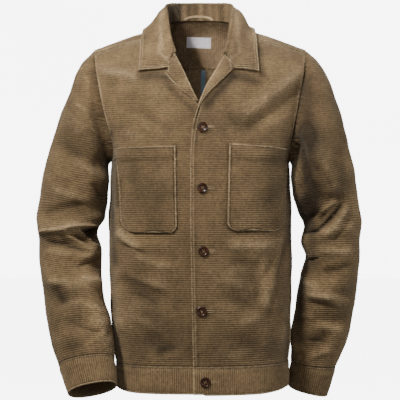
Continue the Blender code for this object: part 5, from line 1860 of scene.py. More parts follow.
def pocket_place(side, across, share):
    """x and z of places on a patch pocket, from its foot (share 0) to its
    mouth, and how far it puffs out there."""
    cut = POCKETS[side]
    mouth = cut["mouth"][0] + (cut["mouth"][1] - cut["mouth"][0]) * across
    z = cut["foot_z"] + (mouth - cut["foot_z"]) * share
    edge = []
    for corner, inward in ((0, 1), (1, -1)):
        x = cut["foot"][corner] + (cut["top"][corner] - cut["foot"][corner]) * share
        radius = cut["corner"][corner]
        left = np.clip((z - cut["foot_z"]) / radius, 0, 1)
        edge.append(x + inward * radius * (1 - np.sqrt(np.clip(1 - (1 - left)**2, 0, 1))))
    x = (edge[0] + (edge[1] - edge[0]) * across) * side
    return x, z, POCKET_PUFF * np.sin(np.pi * across) * share**0.5


def build_pockets(reliefs):
    """Patch pockets, laid on the fronts at the heights of the fronts' own cords."""
    for side in (LEFT, RIGHT):
        cut = POCKETS[side]
        name = "pocket_" + SIDE_NAME[side]
        width = cut["top"][1] - cut["top"][0]
        start = POCKET_STOPS[-1]
        count = int((width - 2 * start) / POCKET_STEP)
        middle = np.linspace(start, width - start, count)[1:-1]
        across = np.concatenate([POCKET_STOPS, middle, width - POCKET_STOPS[::-1]]) / width
        down = np.linspace(0.0, 1.0, 400)
        _, z, _ = pocket_place(side, across[None, :], down[:, None])
        measure = height_place(front_surface, side, z)
        levels = cord_levels(measure.min(), measure.max())
        share, row_of = level_grid(measure, down, levels)
        x, z, puff = pocket_place(side, across[None, :], share)
        points, normal = reliefs[side].lay(x, z, POCKET_AIR + puff + DOUBLE * POCKET_WALL)
        skin = Skin(points, normal, row_of)
        rim = np.minimum(np.minimum(skin.first, skin.last), skin.low)
        skin.creased(1.5 * np.sin(x / 21.0 + side) * np.sin(z / 27.0) + ripple(points, 0.7))
        skin.toned(PAINTED_LIGHT_PATCHES[name])
        skin.cords(levels[:, None])
        skin.round_off(rim, 1.4)
        skin.round_off(skin.high, 1.2)
        skin.pucker(rim, x + z, 0.8, 9.0)
        skin.lighten_pile(bell(rim, 1.9, 1.6))
        skin.stitched(rim, POCKET_ROW, 1.1, 0.8)
        # Painted shade along the row of stitches
        skin.paint_shade(0.8 * bell(rim, 4.6, 1.0))
        for distance in (skin.first, skin.last, skin.low):
            stitch("pockets", skin.line(distance, POCKET_ROW))
        skin.stitched(skin.high, POCKET_MOUTH_ROW, 0.6, 0.9)
        coarse = np.linspace(0.0, 1.0, 18)[None, :]
        x, z, puff = pocket_place(side, coarse, np.linspace(0.0, 1.0, 24)[:, None])
        under = Skin(*reliefs[side].lay(x, z, POCKET_AIR + puff))
        under.cord[:] = ROUGH_CORD
        cloth_piece(name, cloth_mesh(name, skin, under))


LAPEL_WIDER = (-84.0, 12.0)    # height from which the shown lapels are 3 mm wider
LAPEL_OVER = (1.1, 2.9)        # how far over the front their wrong and right sides lie


def build_lapels():
    """Turned-back facings, with their roll lines along the front edges."""
    for side in (LEFT, RIGHT):
        name = "lapel_" + SIDE_NAME[side]
        column = 1 if side == LEFT else 2
        top = LAPELS[-1, 0] + LAPEL_TUCK
        low_place, top_place = height_place(front_surface, side,
                                            np.array([LAPEL_FOOT[side], top]))
        levels = cord_levels(low_place, top_place)
        levels = levels[(levels > low_place) & (levels < top_place)]
        levels = np.concatenate([[low_place], levels, [top_place]])
        height, place = level_table(front_surface, side)
        z = np.interp(levels, place, height)
        width = glide(LAPELS[:, 0], LAPELS[:, column], z)[:, 0]
        width = width + 3.0 * ramp(z, *LAPEL_WIDER)
        share = glide(FRONT_ROWS[:, 1], FRONT_ROWS[:, 0], z)[:, 0]
        t = np.concatenate([np.linspace(0.0, 0.85, 22), np.linspace(0.89, 1.0, 8)])
        across = across_at(side, share, t[None, :] * width[:, None])
        share = np.broadcast_to(share[:, None], across.shape)
        points = front_surface(side, across, share)
        normal = normals_at(front_surface, side, across, share, NORMAL_STEP)
        normal = facing(points, normal, BODY_AXIS)
        inside, outside = LAPEL_OVER
        skin = Skin(points + normal * outside, normal)
        size = np.clip(width / 24.0, 0, 1)[:, None]
        skin.lift((1.2 * np.sin(np.pi * t)[None, :] + 2.2 * t[None, :]**2) * size)
        skin.lift(ripple(points, 0.5))
        skin.cords(levels[:, None], 0.7)
        edge = skin.last
        skin.round_off(edge, 1.4)
        skin.round_off(skin.first, 0.8)
        skin.stitched(edge, LAPEL_ROW, 0.6, 0.5)
        skin.pucker(edge, skin.low, 0.5, 7.0)
        stitch("lapels", skin.line(edge, LAPEL_ROW))
        thin, wide = every(len(levels), 3), every(len(t), 5)
        under = Skin((points + normal * inside)[thin][:, wide], normal[thin][:, wide])
        under.cord[:] = ROUGH_CORD
        cloth_piece(name, cloth_mesh(name, skin, under))


def collar_grid(tree):
    """Stand and fall in one folded sheet, from the left end to the right."""
    stations = np.linspace(0.0, 1.0, 13)
    row = glide(COLLAR[:, 0], COLLAR[:, 1:], stations)
    neck = glide(NECK[:, 0], NECK[:, 1:], stations)
    half = []
    for side in (LEFT, RIGHT):
        spread = np.array([COLLAR_SPREAD[side], 1.0, 1.0])
        roll, turn, edge = row[:, 0:3] * spread, row[:, 3:6], row[:, 6:9] * spread
        out = (edge - neck) * np.array([1.0, 1.0, 0.0])
        out /= np.linalg.norm(out, axis=-1, keepdims=True)
        foot = neck - out * COLLAR_FOOT[0] + np.array([0.0, 0.0, COLLAR_FOOT[1]])
        height = np.linalg.norm(roll - neck, axis=-1, keepdims=True)
        bend = np.minimum(COLLAR_ROLL, 0.3 * height)
        low = bend * np.array([0.0, 0.0, 1.4])
        profile = [
            foot,
            (foot + roll) / 2 - out * bend * 0.7,
            roll - out * bend * 0.8 - low,
            roll,
            roll + out * bend - low,
            (roll + turn) / 2 + out * bend * 0.8,
            turn,
            turn + (edge - turn) * 0.5,
            edge,
        ]
        half.append(mirrored(np.stack(profile, axis=1), side))
    left, right = half
    grid = np.concatenate([left[::-1], right[1:]])
    for station in range(len(grid)):
        for place in range(COLLAR_OUTSIDE, grid.shape[1]):
            grid[station, place] = clear_of(tree, grid[station, place], COLLAR_GAP)
    return grid


COLLAR_STOPS = np.array([0.0, 0.6, 1.3, 2.1, 2.8, 3.5, 4.3, 5.6, 7.0, 7.9, 8.8, 10.2])
COLLAR_STEP = 2.6              # how far apart its other lines are
COLLAR_TURN = (0.28, 0.44)     # where its cords start to turn from upright to level,
                               # as a share of its half, and over how much of it

# Distances up the collar from the neck seam
COLLAR_STAND = 40.0            # the stand ends
COLLAR_CREST = 42.0            # worn crest of the roll
COLLAR_FREE = 46.0             # the ends are free edges from here on
COLLAR_FALL = (48.0, 20.0)     # the fall starts, and how far it takes to lie loose


def resampled(grid, first, second):
    """Read a grid of points between its rows and columns, smoothly."""
    rows, cols = grid.shape[:2]
    tall = glide(np.arange(rows), grid.reshape(rows, -1), first * (rows - 1))
    tall = tall.reshape(len(first), cols, 3).transpose(1, 0, 2)
    wide = glide(np.arange(cols), tall.reshape(cols, -1), second * (cols - 1))
    return wide.reshape(len(second), len(first), 3).transpose(1, 0, 2)


def read_columns(found, keys, grid):
    """Points of a grid at the places that were found along each column."""
    return np.stack([read_line(found[:, col], keys, grid[:, col])
                     for col in range(found.shape[1])], axis=1)


def collar_measure(smooth, fine):
    """Places counted in cords along the collar: along its outer edge at the
    back, and up and down towards its front ends."""
    length = line_distances(smooth[:, -1])
    length = length - length[len(length) // 2]
    steep = -smooth[..., 2]
    share = np.abs(2.0 * fine - 1.0)
    weight = (eased(ramp(share, *COLLAR_TURN)) * np.sign(fine - 0.5))[:, None]
    return (length[:, None] + weight * (steep - steep[:, -1:])) / WALE


def collar_looks(skin, points, levels):
    """Cords, creases, places pale from use, and painted shade and painted light on the collar's face.
    """
    x, y, z = points[..., 0], points[..., 1], points[..., 2]
    fall = ramp(skin.first, *COLLAR_FALL)
    skin.lift(ripple(points, 0.9) * fall * np.clip(skin.last / 12.0, 0, 1))
    skin.lift(0.7 * np.sin(x / 17.0 + z / 29.0) * fall
              * np.clip(skin.last / 14.0, 0, 1) * np.clip(skin.edge / 10.0, 0, 1))
    skin.cords(levels[:, None], 1.1)
    skin.cord = skin.cord**COLLAR_GROOVE_SHADE
    # The inside of the stand at the back gets uneven upright streaks of painted shade and painted
    # highlight
    stand = ramp(skin.first, COLLAR_STAND, -6.0) * ramp(y, 25.0, 20.0)
    streak = (np.sin(x / 2.7 + 1.0) + np.sin(x / 4.9 + 2.0) + np.sin(x / 8.3)) / 3
    skin.paint_shade(stand * np.clip(0.25 - 0.9 * streak, 0, 0.8))
    skin.lighten_pile(stand * np.clip(0.8 * streak - 0.2, 0, 0.4))
    # Its right side lies in painted shade, but not the part that turns forward
    ahead = ramp(y, 8.0, -15.0)
    shaded = ramp(skin.first, COLLAR_STAND, -4.0) * ramp(x, -26.0, -16.0)
    skin.tone = skin.tone + 0.8 * shaded * (1 - ahead)
    # The fall's grooves are painted darker and its cords painted lighter, and the forward part of the
    # roll on the right is painted lighter
    skin.tone = skin.tone + 0.8 * (0.35 - skin.cord) * fall
    lit = bell(skin.first, 34.0, 18.0) * ramp(x, 0.0, -20.0)
    skin.tone = skin.tone - 0.6 * lit * ahead
    skin.lighten_pile(0.45 * bell(skin.first, COLLAR_CREST, 5.0))


def build_collar(tree):
    """Collar in one folded sheet: the stand, the roll and the fall."""
    coarse = collar_grid(tree)
    fine = np.linspace(0.0, 1.0, 361)
    wide = np.linspace(0.0, 1.0, 400)
    reach = distances(resampled(coarse, np.array([0.5]), wide))[0]
    tail = reach[-1] - COLLAR_STOPS[::-1]
    middle = np.arange(0.0, tail[0], COLLAR_STEP)
    second = np.interp(np.concatenate([middle, tail]), reach, wide)
    smooth = resampled(coarse, fine, second)
    for _ in range(14):
        smooth[1:-1] = smoothed(smooth)
    measure = collar_measure(smooth, fine)
    levels = cord_levels(measure.min(), measure.max())
    found, row_of = level_grid(measure, fine, levels)
    points = read_columns(found, fine, smooth)
    field = normals_of(smooth)
    half = len(smooth) // 2
    if field[half, np.argmax(smooth[half, :, 2]), 2] < 0:
        field = -field
    normal = unit(read_columns(found, fine, field))
    skin = Skin(points + normal * DOUBLE / 2, normal, row_of)
    ends = np.minimum(skin.low, skin.high)
    skin.edge = np.minimum(ends, skin.last)
    collar_looks(skin, points, levels)
    below_free = np.clip(COLLAR_FREE - skin.first, 0, None)
    for distance in (skin.last, skin.low + below_free, skin.high + below_free):
        skin.round_off(distance, 1.2)
    leaf = np.minimum(ends + below_free, skin.last)
    along = read_columns(found, fine, measure[..., None])[..., 0] * WALE
    skin.pucker(leaf, along + skin.first, 0.6, 7.0)
    for at, depth in COLLAR_ROWS:
        skin.stitched(leaf, at, depth, 0.5)
        for distance in (skin.last, skin.low, skin.high):
            stitch("collar", outside_stand(skin, distance, at))
    thin = every(len(second), 4)
    back = resampled(coarse, np.linspace(0.0, 1.0, 120), second[thin])
    lean = normals_of(back)
    if np.sum(lean[len(lean) // 2] * field[half][thin]) < 0:
        lean = -lean
    under = Skin(back - lean * DOUBLE / 2, lean)
    under.cord[:] = ROUGH_CORD
    cloth_piece("collar", cloth_mesh("collar", skin, under))


STAND_REACH = 54.0             # how far outside the roll's middle the fall lies open


def outside_stand(skin, distance, at):
    """A line of stitches on the collar's fall only."""
    points, normal = skin.line(distance, at)
    if distance is skin.last:
        return points, normal
    middle = skin.points[skin.row_of.max() // 2]
    roll = middle[np.argmax(middle[:, 2])]
    kept = np.abs(points[:, 0]) > abs(roll[0]) + STAND_REACH
    return points[kept], normal[kept]


def strap(name, centre, side_step, up, half_width, half_thick, finish, slot, *nodes):
    """Strap with rounded edges along a line of points."""
    cos, sin = superround(np.arange(0.0, 360.0, 30.0), 4.0)
    rings = [centre + side_step * wide + up * tall
             for wide, tall in zip(cos * half_width, sin * half_thick)]
    grid = np.stack(rings, axis=1)
    rows, cols = grid.shape[:2]
    faces = tube_faces(rows, cols)
    faces += [list(range(cols)), list(range((rows - 1) * cols, rows * cols))]
    layers = {"cord": np.ones(rows * cols), "wear_and_highlight": np.full(rows * cols, 0.25)}
    return piece(name, make_mesh(name, grid.reshape(-1, 3), faces, layers), finish, slot, *nodes)


def build_hanger_loop():
    """Narrow strap that arches against the inside of the collar stand."""
    x = np.linspace(LOOP_ENDS[0], LOOP_ENDS[1], 49)
    middle = (LOOP_ENDS[0] + LOOP_ENDS[1]) / 2
    half = (LOOP_ENDS[1] - LOOP_ENDS[0]) / 2
    z = (LOOP_FOOT_Z + LOOP_WIDTH / 2
         + LOOP_RISE * np.sqrt(np.clip(1.0 - ((x - middle) / half)**2, 0, 1)))
    bend = glide(NECK[:, 1], NECK[:, 2], np.abs(x))[:, 0]
    y = bend - LOOP_SETBACK + (z - LOOP_FOOT_Z) * LOOP_LEAN + LOOP_THICK / 2
    centre = np.stack([x, y, z], axis=-1)
    along = unit(np.gradient(centre, axis=0))
    up = np.broadcast_to(np.array([0.0, -1.0, 0.0]), along.shape)
    side_step = unit(np.cross(along, up))
    strap("hanger_loop_cloth", centre, side_step, up, LOOP_WIDTH / 2, LOOP_THICK / 2,
          "strap", "strap", "hanger_loop")
    for offset in (-1.3, 1.3):
        stitch("loop", (centre + side_step * offset + up * (LOOP_THICK / 2), up), 2.6, 1.9, 0.22)


def build_label(lining):
    """Plain woven label on the inside of the yoke, sewn at both ends."""
    points, _ = lining
    relief = Relief([points, mirrored(points, -1)], (-40.0, -30.0), (40.0, 20.0), 2.0)
    lean = math.radians(LABEL_LEAN)
    along = LABEL_SIZE[0] * (np.linspace(0.0, 1.0, 50) - 0.5)[None, :]
    down = LABEL_SIZE[1] * (np.linspace(0.0, 1.0, 22) - 0.5)[:, None]
    x = LABEL_CENTRE[0] + along * math.cos(lean) - down * math.sin(lean)
    z = LABEL_CENTRE[1] - down * math.cos(lean) - along * math.sin(lean)
    face, out = relief.lay(x, z, LABEL_OVER)
    skin = Skin(face, out)
    skin.cord[:] = 0.0
    skin.lift(0.35 * np.sin(x / 7.0 + 0.4) * bell(skin.low, 0.0, 9.0))
    ends = np.minimum(skin.first, skin.last)
    skin.lift(-0.5 * np.clip(1 - skin.edge / 0.8, 0, 1)**2)
    skin.lift(-0.25 * bell(ends, LABEL_ROW, 0.6))
    back, _ = relief.lay(x, z, LABEL_OVER - LABEL_THICK)
    under = Skin(back, out)
    cloth_piece("label", cloth_mesh("label", skin, under), "label", "label")
    for distance in (skin.first, skin.last):
        stitch("label", skin.line(distance, LABEL_ROW), 1.9, 1.4, 0.16)


def build_seam_tape():
    """Binding of the centre back seam, turned to the left inside."""
    share = np.linspace(TAPE_ALONG[0], TAPE_ALONG[1], 240)[:, None]
    across = np.linspace(TAPE_ACROSS[0], TAPE_ACROSS[1], 12)[None, :]
    seam = back_surface(LEFT, across, share)
    inward = np.array([0.0, -1.0, 0.0])
    front = seam + inward * (CLOTH + TAPE_AIR + TAPE_THICK)
    skin = Skin(front, np.broadcast_to(inward, front.shape))
    skin.lift(0.5 * bell(skin.first, 1.6, 1.2) - 0.5 * bell(skin.edge, 0.0, 1.0))
    skin.lift(0.3 * np.sin(skin.low / 5.0) * np.sin(skin.low / 13.0 + 1.0))
    skin.lift(-0.35 * bell(skin.last, TAPE_ROW, 0.6))
    under = Skin(seam + inward * (CLOTH + TAPE_AIR), skin.normal)
    cloth_piece("seam_tape", cloth_mesh("seam_tape", skin, under), "tape", "tape")
    stitch("tape", skin.line(skin.last, TAPE_ROW), 3.0, 2.2, 0.2)


BUTTON_LATHE = [
    # share of the radius, height over the cloth
    (0.00, 0.35), (0.50, 0.35), (0.80, 0.45), (0.93, 0.85), (1.00, 1.50), (1.00, 2.15),
    (0.965, 2.75), (0.90, 3.15), (0.82, 3.25), (0.74, 3.10), (0.68, 2.70), (0.62, 2.35),
    (0.54, 2.15), (0.30, 2.02), (0.00, 2.00),
]
BUTTON_HOLES = 2.3             # how far the four holes lie from the centre, each way
BUTTON_HOLE_RADIUS = 0.95
BUTTON_OVER = 0.55             # how far over the cloth it starts
BUTTON_TURN = (7.0, -18.0)     # turned in degrees by its number times this, plus this


def lathe(name, profile, radius, sides):
    """Closed turned shape in millimetres, lying on the XY plane."""
    shape = bmesh.new()
    turn = 2 * math.pi / sides
    rings = []
    for reach, height in profile:
        count = sides if reach else 1
        rings.append([shape.verts.new((math.cos(turn * step) * reach * radius,
                                       math.sin(turn * step) * reach * radius, height))
                      for step in range(count)])
    for lower, upper in zip(rings, rings[1:]):
        for step in range(sides):
            after = (step + 1) % sides
            corners = [lower[step % len(lower)], lower[after % len(lower)],
                       upper[after % len(upper)], upper[step % len(upper)]]
            shape.faces.new(list(dict.fromkeys(corners)))
    bmesh.ops.recalc_face_normals(shape, faces=shape.faces[:])
    mesh = bpy.data.meshes.new(name)
    shape.to_mesh(mesh)
    shape.free()
    return mesh


def drilled(mesh, places, radius):
    """Cut round holes through a button."""
    body = placed("blank", mesh)
    drill = [(0.0, -2.0), (radius, -2.0), (radius, 6.0), (0.0, 6.0)]
    cutters = []
    for x, y in places:
        cutter = placed("drill", lathe("drill", drill, 1.0, 20))
        cutter.location = (x, y, 0.0)
        cut = body.modifiers.new("hole", "BOOLEAN")
        cut.operation, cut.solver, cut.object = "DIFFERENCE", "EXACT", cutter
        cutters.append(cutter)
    bpy.context.view_layer.update()
    graph = bpy.context.evaluated_depsgraph_get()
    made = bpy.data.meshes.new_from_object(body.evaluated_get(graph))
    for item in [body] + cutters:
        bpy.data.objects.remove(item)
    return made


def spun(point, angle):
    """A point turned round the Z axis."""
    x, y, z = point
    return Vector((x * math.cos(angle) - y * math.sin(angle),
                   x * math.sin(angle) + y * math.cos(angle), z))


def build_buttons(reliefs, band):
    """Four-holed buttons, each with its buttonhole on the left front."""
    holes = [(x, y) for x in (-BUTTON_HOLES, BUTTON_HOLES) for y in (-BUTTON_HOLES, BUTTON_HOLES)]
    turned = lathe("button", BUTTON_LATHE, BUTTON_RADIUS, 56)
    blank = drilled(turned, holes, BUTTON_HOLE_RADIUS)
    band_relief = Relief([band], (-20.0, HEM_Z), (70.0, HEM_SEAM_Z), 2.0)
    for number, (x, z) in enumerate(BUTTONS, start=1):
        relief = band_relief if number == len(BUTTONS) else reliefs[LEFT]
        place, lean = relief.lay(np.array([x]), np.array([z]), BUTTON_OVER)
        turn = Vector(lean[0]).to_track_quat("Z", "Y").to_matrix()
        spin = math.radians(BUTTON_TURN[0] * number + BUTTON_TURN[1])
        mesh = blank.copy()
        mesh.name = "button_%d" % number
        for vert in mesh.vertices:
            vert.co = (Vector(place[0]) + turn @ spun(vert.co, spin)) * MM
        mesh.shade_smooth()
        mesh.set_sharp_from_angle(angle=math.radians(38))
        mesh.materials.clear()
        piece("button_%d_turned" % number, mesh, "button", "button", "button_%d" % number)
        for start, end in ((holes[0], holes[3]), (holes[1], holes[2])):
            ends = [np.array(spun((*hole, 2.0), spin)) for hole in (start, end)]
            line = np.stack([ends[0], (ends[0] + ends[1]) / 2, ends[1]])
            line[:, 2] += np.array([-0.2, 0.35, -0.2])
            line = np.array([place[0] + np.array(turn @ Vector(point)) for point in line])
            STITCHES.setdefault("buttons", []).append(strand_rings(line, lean[0], THREAD_RADIUS))
        build_buttonhole(number, relief, x, z)


THREAD_RADIUS = 0.45


def strand_rings(line, up, radius):
    """Rings of points of one pass of thick thread across a button."""
    side = unit(np.cross(up, line[-1] - line[0]))
    rings = [point + side * math.cos(angle) * radius + up * math.sin(angle) * radius
             for point in line for angle in np.radians(STITCH_ANGLES)]
    return np.array(rings)[None]


HOLE_LENGTH = 26.0             # buttonhole, from under the button outwards
HOLE_START = -3.0              # x of its inner end, from the button's centre
HOLE_WIDE = 1.4                # how far inside each end its ring of stitches turns
HOLE_TALL = 1.7                # half height of its ring of stitches
HOLE_POWER = 0.45              # below 1, its ends are squarer
HOLE_CORD = 0.95               # radius of the ring
HOLE_STITCHES = 36


def build_buttonhole(number, relief, x, z):
    """Bar of close stitches round a slit, lying on the left front."""
    along = np.linspace(0.0, 2 * math.pi, 145)[:-1]
    half = HOLE_LENGTH / 2
    wide = np.sign(np.cos(along)) * np.abs(np.cos(along))**HOLE_POWER * (half - HOLE_WIDE)
    tall = np.sign(np.sin(along)) * np.abs(np.sin(along))**HOLE_POWER * HOLE_TALL
    rings = []
    for angle in np.radians(np.arange(0.0, 360.0, 45.0)):
        rib = 1.0 + 0.28 * np.sin(along * HOLE_STITCHES)
        reach = 1.0 + HOLE_CORD * math.cos(angle) * rib / HOLE_TALL
        grow = HOLE_CORD * math.cos(angle)
        px = x + half + HOLE_START + wide + np.sign(wide) * np.abs(np.cos(along)) * grow
        pz = z + tall * reach
        points, _ = relief.lay(px, pz, 0.25 + 0.75 * math.sin(angle) * rib)
        rings.append(points)
    grid = np.stack(rings, axis=1)
    name = "buttonhole_%d" % number
    mesh = make_mesh(name, grid.reshape(-1, 3), tube_faces(*grid.shape[:2], closed=True), {})
    piece(name, mesh, "thread", "corduroy")


# Finishes: groove colour, darkened as painted shade, crest colour, colour of pile turned pale by use
# and by painted highlight, sheen weight
CLOTHS = {
    "cord": ((0.036, 0.023, 0.010), (0.182, 0.120, 0.058), (0.440, 0.325, 0.185), 0.20),
    "lining": ((0.085, 0.054, 0.026), (0.240, 0.162, 0.088), (0.380, 0.275, 0.155), 0.15),
    "strap": ((0.190, 0.130, 0.070), (0.300, 0.210, 0.118), (0.420, 0.310, 0.190), 0.20),
}
THREAD_COLOUR = (0.250, 0.172, 0.092)
LABEL_COLOUR = (0.80, 0.77, 0.80)
TAPE_COLOUR = (0.200, 0.290, 0.370)
BUTTON_COLOUR = (0.026, 0.011, 0.005)
BUTTON_STREAK = (0.060, 0.022, 0.010)
FINISHES = {}


class Graph:
    """Small helper for building a material's nodes."""

    def __init__(self, name):
        self.material = bpy.data.materials.new(name)
        self.material.use_nodes = True
        self.tree = self.material.node_tree
        self.shader = self.tree.nodes["Principled BSDF"]
        self.place = self.node("ShaderNodeTexCoord").outputs["Object"]

    def node(self, kind, **settings):
        """New node."""
        made = self.tree.nodes.new(kind)
        for key, value in settings.items():
            setattr(made, key, value)
        return made

    def feed(self, socket, value):
        """Set an input to a colour or a number, or join it to an output."""
        if isinstance(value, tuple):
            socket.default_value = (*value, 1.0)
        elif isinstance(value, (int, float)):
            socket.default_value = value
        else:
            self.tree.links.new(value, socket)

    def shade(self, name, value):
        """Set or join one input of the surface."""
        self.feed(self.shader.inputs[name], value)

    def layer(self, name):
        """One of the mesh's layers."""
        return self.node("ShaderNodeAttribute", attribute_name=name).outputs["Fac"]

    def noise(self, scale, detail=2.0, roughness=0.55, stretch=None):
        """Noise fixed to the object, stretched where asked."""
        made = self.node("ShaderNodeTexNoise")
        made.inputs["Scale"].default_value = scale
        made.inputs["Detail"].default_value = detail
        made.inputs["Roughness"].default_value = roughness
        source = self.place
        if stretch is not None:
            mapping = self.node("ShaderNodeMapping")
            mapping.inputs["Scale"].default_value = stretch
            self.feed(mapping.inputs["Vector"], self.place)
            source = mapping.outputs["Vector"]
        self.feed(made.inputs["Vector"], source)
        return made.outputs["Fac"]

    def spread(self, value, low, high, to_low, to_high):
        """Stretch the values from low to high over those from to_low to to_high."""
        made = self.node("ShaderNodeMapRange")
        for key, number in (("From Min", low), ("From Max", high),
                            ("To Min", to_low), ("To Max", to_high)):
            made.inputs[key].default_value = number
        self.feed(made.inputs["Value"], value)
        return made.outputs["Result"]

    def math(self, kind, first, second):
        """Result of the operation named, on two values."""
        made = self.node("ShaderNodeMath", operation=kind)
        for socket, value in zip(made.inputs, (first, second)):
            self.feed(socket, value)
        return made.outputs["Value"]

    def mix(self, share, first, second, kind="MIX"):
        """Mix two colours."""
        made = self.node("ShaderNodeMix", data_type="RGBA", blend_type=kind)
        for number, value in ((0, share), (6, first), (7, second)):
            self.feed(made.inputs[number], value)
        return made.outputs[2]

    def toned(self, colour, tone):
        """A colour made lighter or darker by a value."""
        grey = self.node("ShaderNodeCombineColor")
        for socket in grey.inputs[:3]:
            self.feed(socket, tone)
        return self.mix(1.0, colour, grey.outputs["Color"], "MULTIPLY")

    def bump(self, height, distance, strength, after=None):
        """Normals tilted by a height, on top of those of another bump."""
        made = self.node("ShaderNodeBump")
        made.inputs["Distance"].default_value = distance
        made.inputs["Strength"].default_value = strength
        self.feed(made.inputs["Height"], height)
        if after is not None:
            self.feed(made.inputs["Normal"], after)
        return made.outputs["Normal"]


def cloth_finish(name):
    """Corduroy: dark grooves of painted shade, a mottled nap on the cords, edges turned pale by use,
    pale painted highlights, and painted shade from the mesh.
    """
    groove, crest, worn_and_lit, sheen = CLOTHS[name]
    graph = Graph("corduroy_" + name)
    cord = graph.layer("cord")
    wear_and_highlight = graph.layer("wear_and_highlight")
    # Painted shade from the mesh darkens the colour
    painted_shade_factor = graph.math("MAXIMUM", 0.2, graph.math(
        "SUBTRACT", 1.0, graph.math("MULTIPLY", graph.layer("painted_shade"), 0.68)))
    patches = graph.spread(graph.noise(13.0, 4.0, 0.6), 0.32, 0.68, 0.74, 1.22)
    flecks = graph.spread(graph.noise(190.0, 4.0, 0.7), 0.3, 0.7, 0.66, 1.34)
    fibres = graph.noise(1500.0, 2.0, 0.6)
    depth = graph.spread(graph.noise(34.0, 3.0), 0.35, 0.65, 0.35, 1.0)
    # Where the pile is low the colour goes to the dark groove colour, painted shade
    groove_share = graph.math("MULTIPLY", graph.math("SUBTRACT", 1.0, cord), depth)
    pile = graph.math("SUBTRACT", 1.0, groove_share)
    colour = graph.mix(pile, groove, crest)
    # The pile turns pale from use and from painted highlight
    pale_share = graph.math("MULTIPLY", wear_and_highlight, graph.spread(graph.noise(260.0, 3.0), 0.25, 0.65, 0.1, 1.0))
    colour = graph.mix(graph.math("MULTIPLY", pale_share, 0.75), colour, worn_and_lit)
    tone = graph.math("MULTIPLY", graph.math("MULTIPLY", patches, flecks), painted_shade_factor)
    tone = graph.math("MULTIPLY", tone, graph.spread(fibres, 0.3, 0.7, 0.85, 1.15))
    graph.shade("Base Color", graph.toned(colour, tone))
    graph.shade("Roughness", graph.spread(graph.noise(420.0), 0.3, 0.7, 0.82, 1.0))
    lumps = graph.bump(graph.noise(300.0, 3.0), 0.0006, 0.5)
    graph.shade("Normal", graph.bump(fibres, 0.0003, 0.6, lumps))
    graph.shade("Sheen Weight", sheen)
    graph.shade("Sheen Roughness", 0.5)
    graph.shade("Sheen Tint", (0.95, 0.80, 0.60))
    graph.shade("Specular IOR Level", 0.25)
    return graph.material


def woven_finish(name, colour, scale, strength):
    """Plain woven ribbon or thread, with fine crossing threads."""
    graph = Graph(name)
    across = graph.noise(scale, 1.0, 0.5, (1.0, 1.0, 0.18))
    down = graph.noise(scale, 1.0, 0.5, (0.18, 1.0, 1.0))
    weave = graph.math("ADD", across, down)
    tone = graph.spread(weave, 0.7, 1.3, 0.82, 1.15)
    graph.shade("Base Color", graph.toned(colour, tone))
    graph.shade("Roughness", graph.spread(weave, 0.7, 1.3, 0.75, 0.95))
    graph.shade("Normal", graph.bump(weave, 0.0002, strength))
    graph.shade("Sheen Weight", 0.15)
    return graph.material


def button_finish():
    """Polished dark plastic with faint streaks and fine scratches."""
    graph = Graph("button_plastic")
    streak = graph.spread(graph.noise(160.0, 3.0, 0.6, (1.0, 1.0, 0.3)), 0.35, 0.75, 0.0, 1.0)
    graph.shade("Base Color", graph.mix(streak, BUTTON_COLOUR, BUTTON_STREAK))
    graph.shade("Roughness", graph.spread(graph.noise(900.0), 0.3, 0.7, 0.10, 0.20))
    graph.shade("Normal", graph.bump(graph.noise(700.0), 0.0001, 0.15))
    graph.shade("Specular IOR Level", 0.35)
    return graph.material


def floor_finish():
    """Nearly white floor that glows evenly."""
    graph = Graph("studio_floor")
    clouds = graph.spread(graph.noise(2.0), 0.3, 0.7, 0.0, 1.0)
    graph.shade("Base Color", graph.mix(clouds, (0.86, 0.86, 0.86), (0.90, 0.90, 0.90)))
    graph.shade("Roughness", graph.spread(graph.noise(40.0), 0.3, 0.7, 0.7, 0.85))
    graph.shade("Emission Color", (1.0, 1.0, 1.0))
    graph.shade("Emission Strength", FLOOR_GLOW)
    return graph.material


def make_finishes():
    """Make every finish once, for all the pieces that have it."""
    for name in CLOTHS:
        FINISHES[name] = cloth_finish(name)
    FINISHES["thread"] = woven_finish("sewing_thread", THREAD_COLOUR, 2600.0, 0.4)
    FINISHES["label"] = woven_finish("label_weave", LABEL_COLOUR, 2200.0, 0.35)
    FINISHES["tape"] = woven_finish("binding_weave", TAPE_COLOUR, 1500.0, 0.5)
    FINISHES["button"] = button_finish()


# Camera: straight from the front, level with the middle of the frame
CAMERA_DISTANCE = 2.9
FRAME_HALF = 0.39
FRAME_MIDDLE = -0.322
FLOOR_Z = -1.15
FLOOR_REACH = 14.0

LAMPS = {
    # place, aim, size in metres, power in watts, spread in degrees, colour
    "key": ((-1.45, -1.85, 1.85), (0.0, 0.0, -0.33), 0.55, 126.0, 180.0, (1.0, 0.985, 0.96)),
    "front": ((-0.3, -3.1, 0.7), (0.0, 0.0, -0.33), 0.7, 16.0, 180.0, (1.0, 0.99, 0.98)),
    "neck": ((-0.9, -2.3, 0.5), (0.02, 0.03, -0.03), 0.25, 0.3, 15.0, (1.0, 0.99, 0.98)),
    "fill": ((2.6, -0.9, 0.3), (0.0, 0.0, -0.33), 1.8, 34.0, 180.0, (0.96, 0.98, 1.0)),
    "back": ((0.4, 2.4, 1.8), (0.0, 0.0, -0.33), 1.6, 62.0, 180.0, (1.0, 1.0, 1.0)),
}
SKY = (0.93, 0.94, 0.96)
SKY_STRENGTH = 0.20
BACKDROP_RADIUS = 13.0
BACKDROP_GLOW = 7.0
FLOOR_GLOW = 6.4


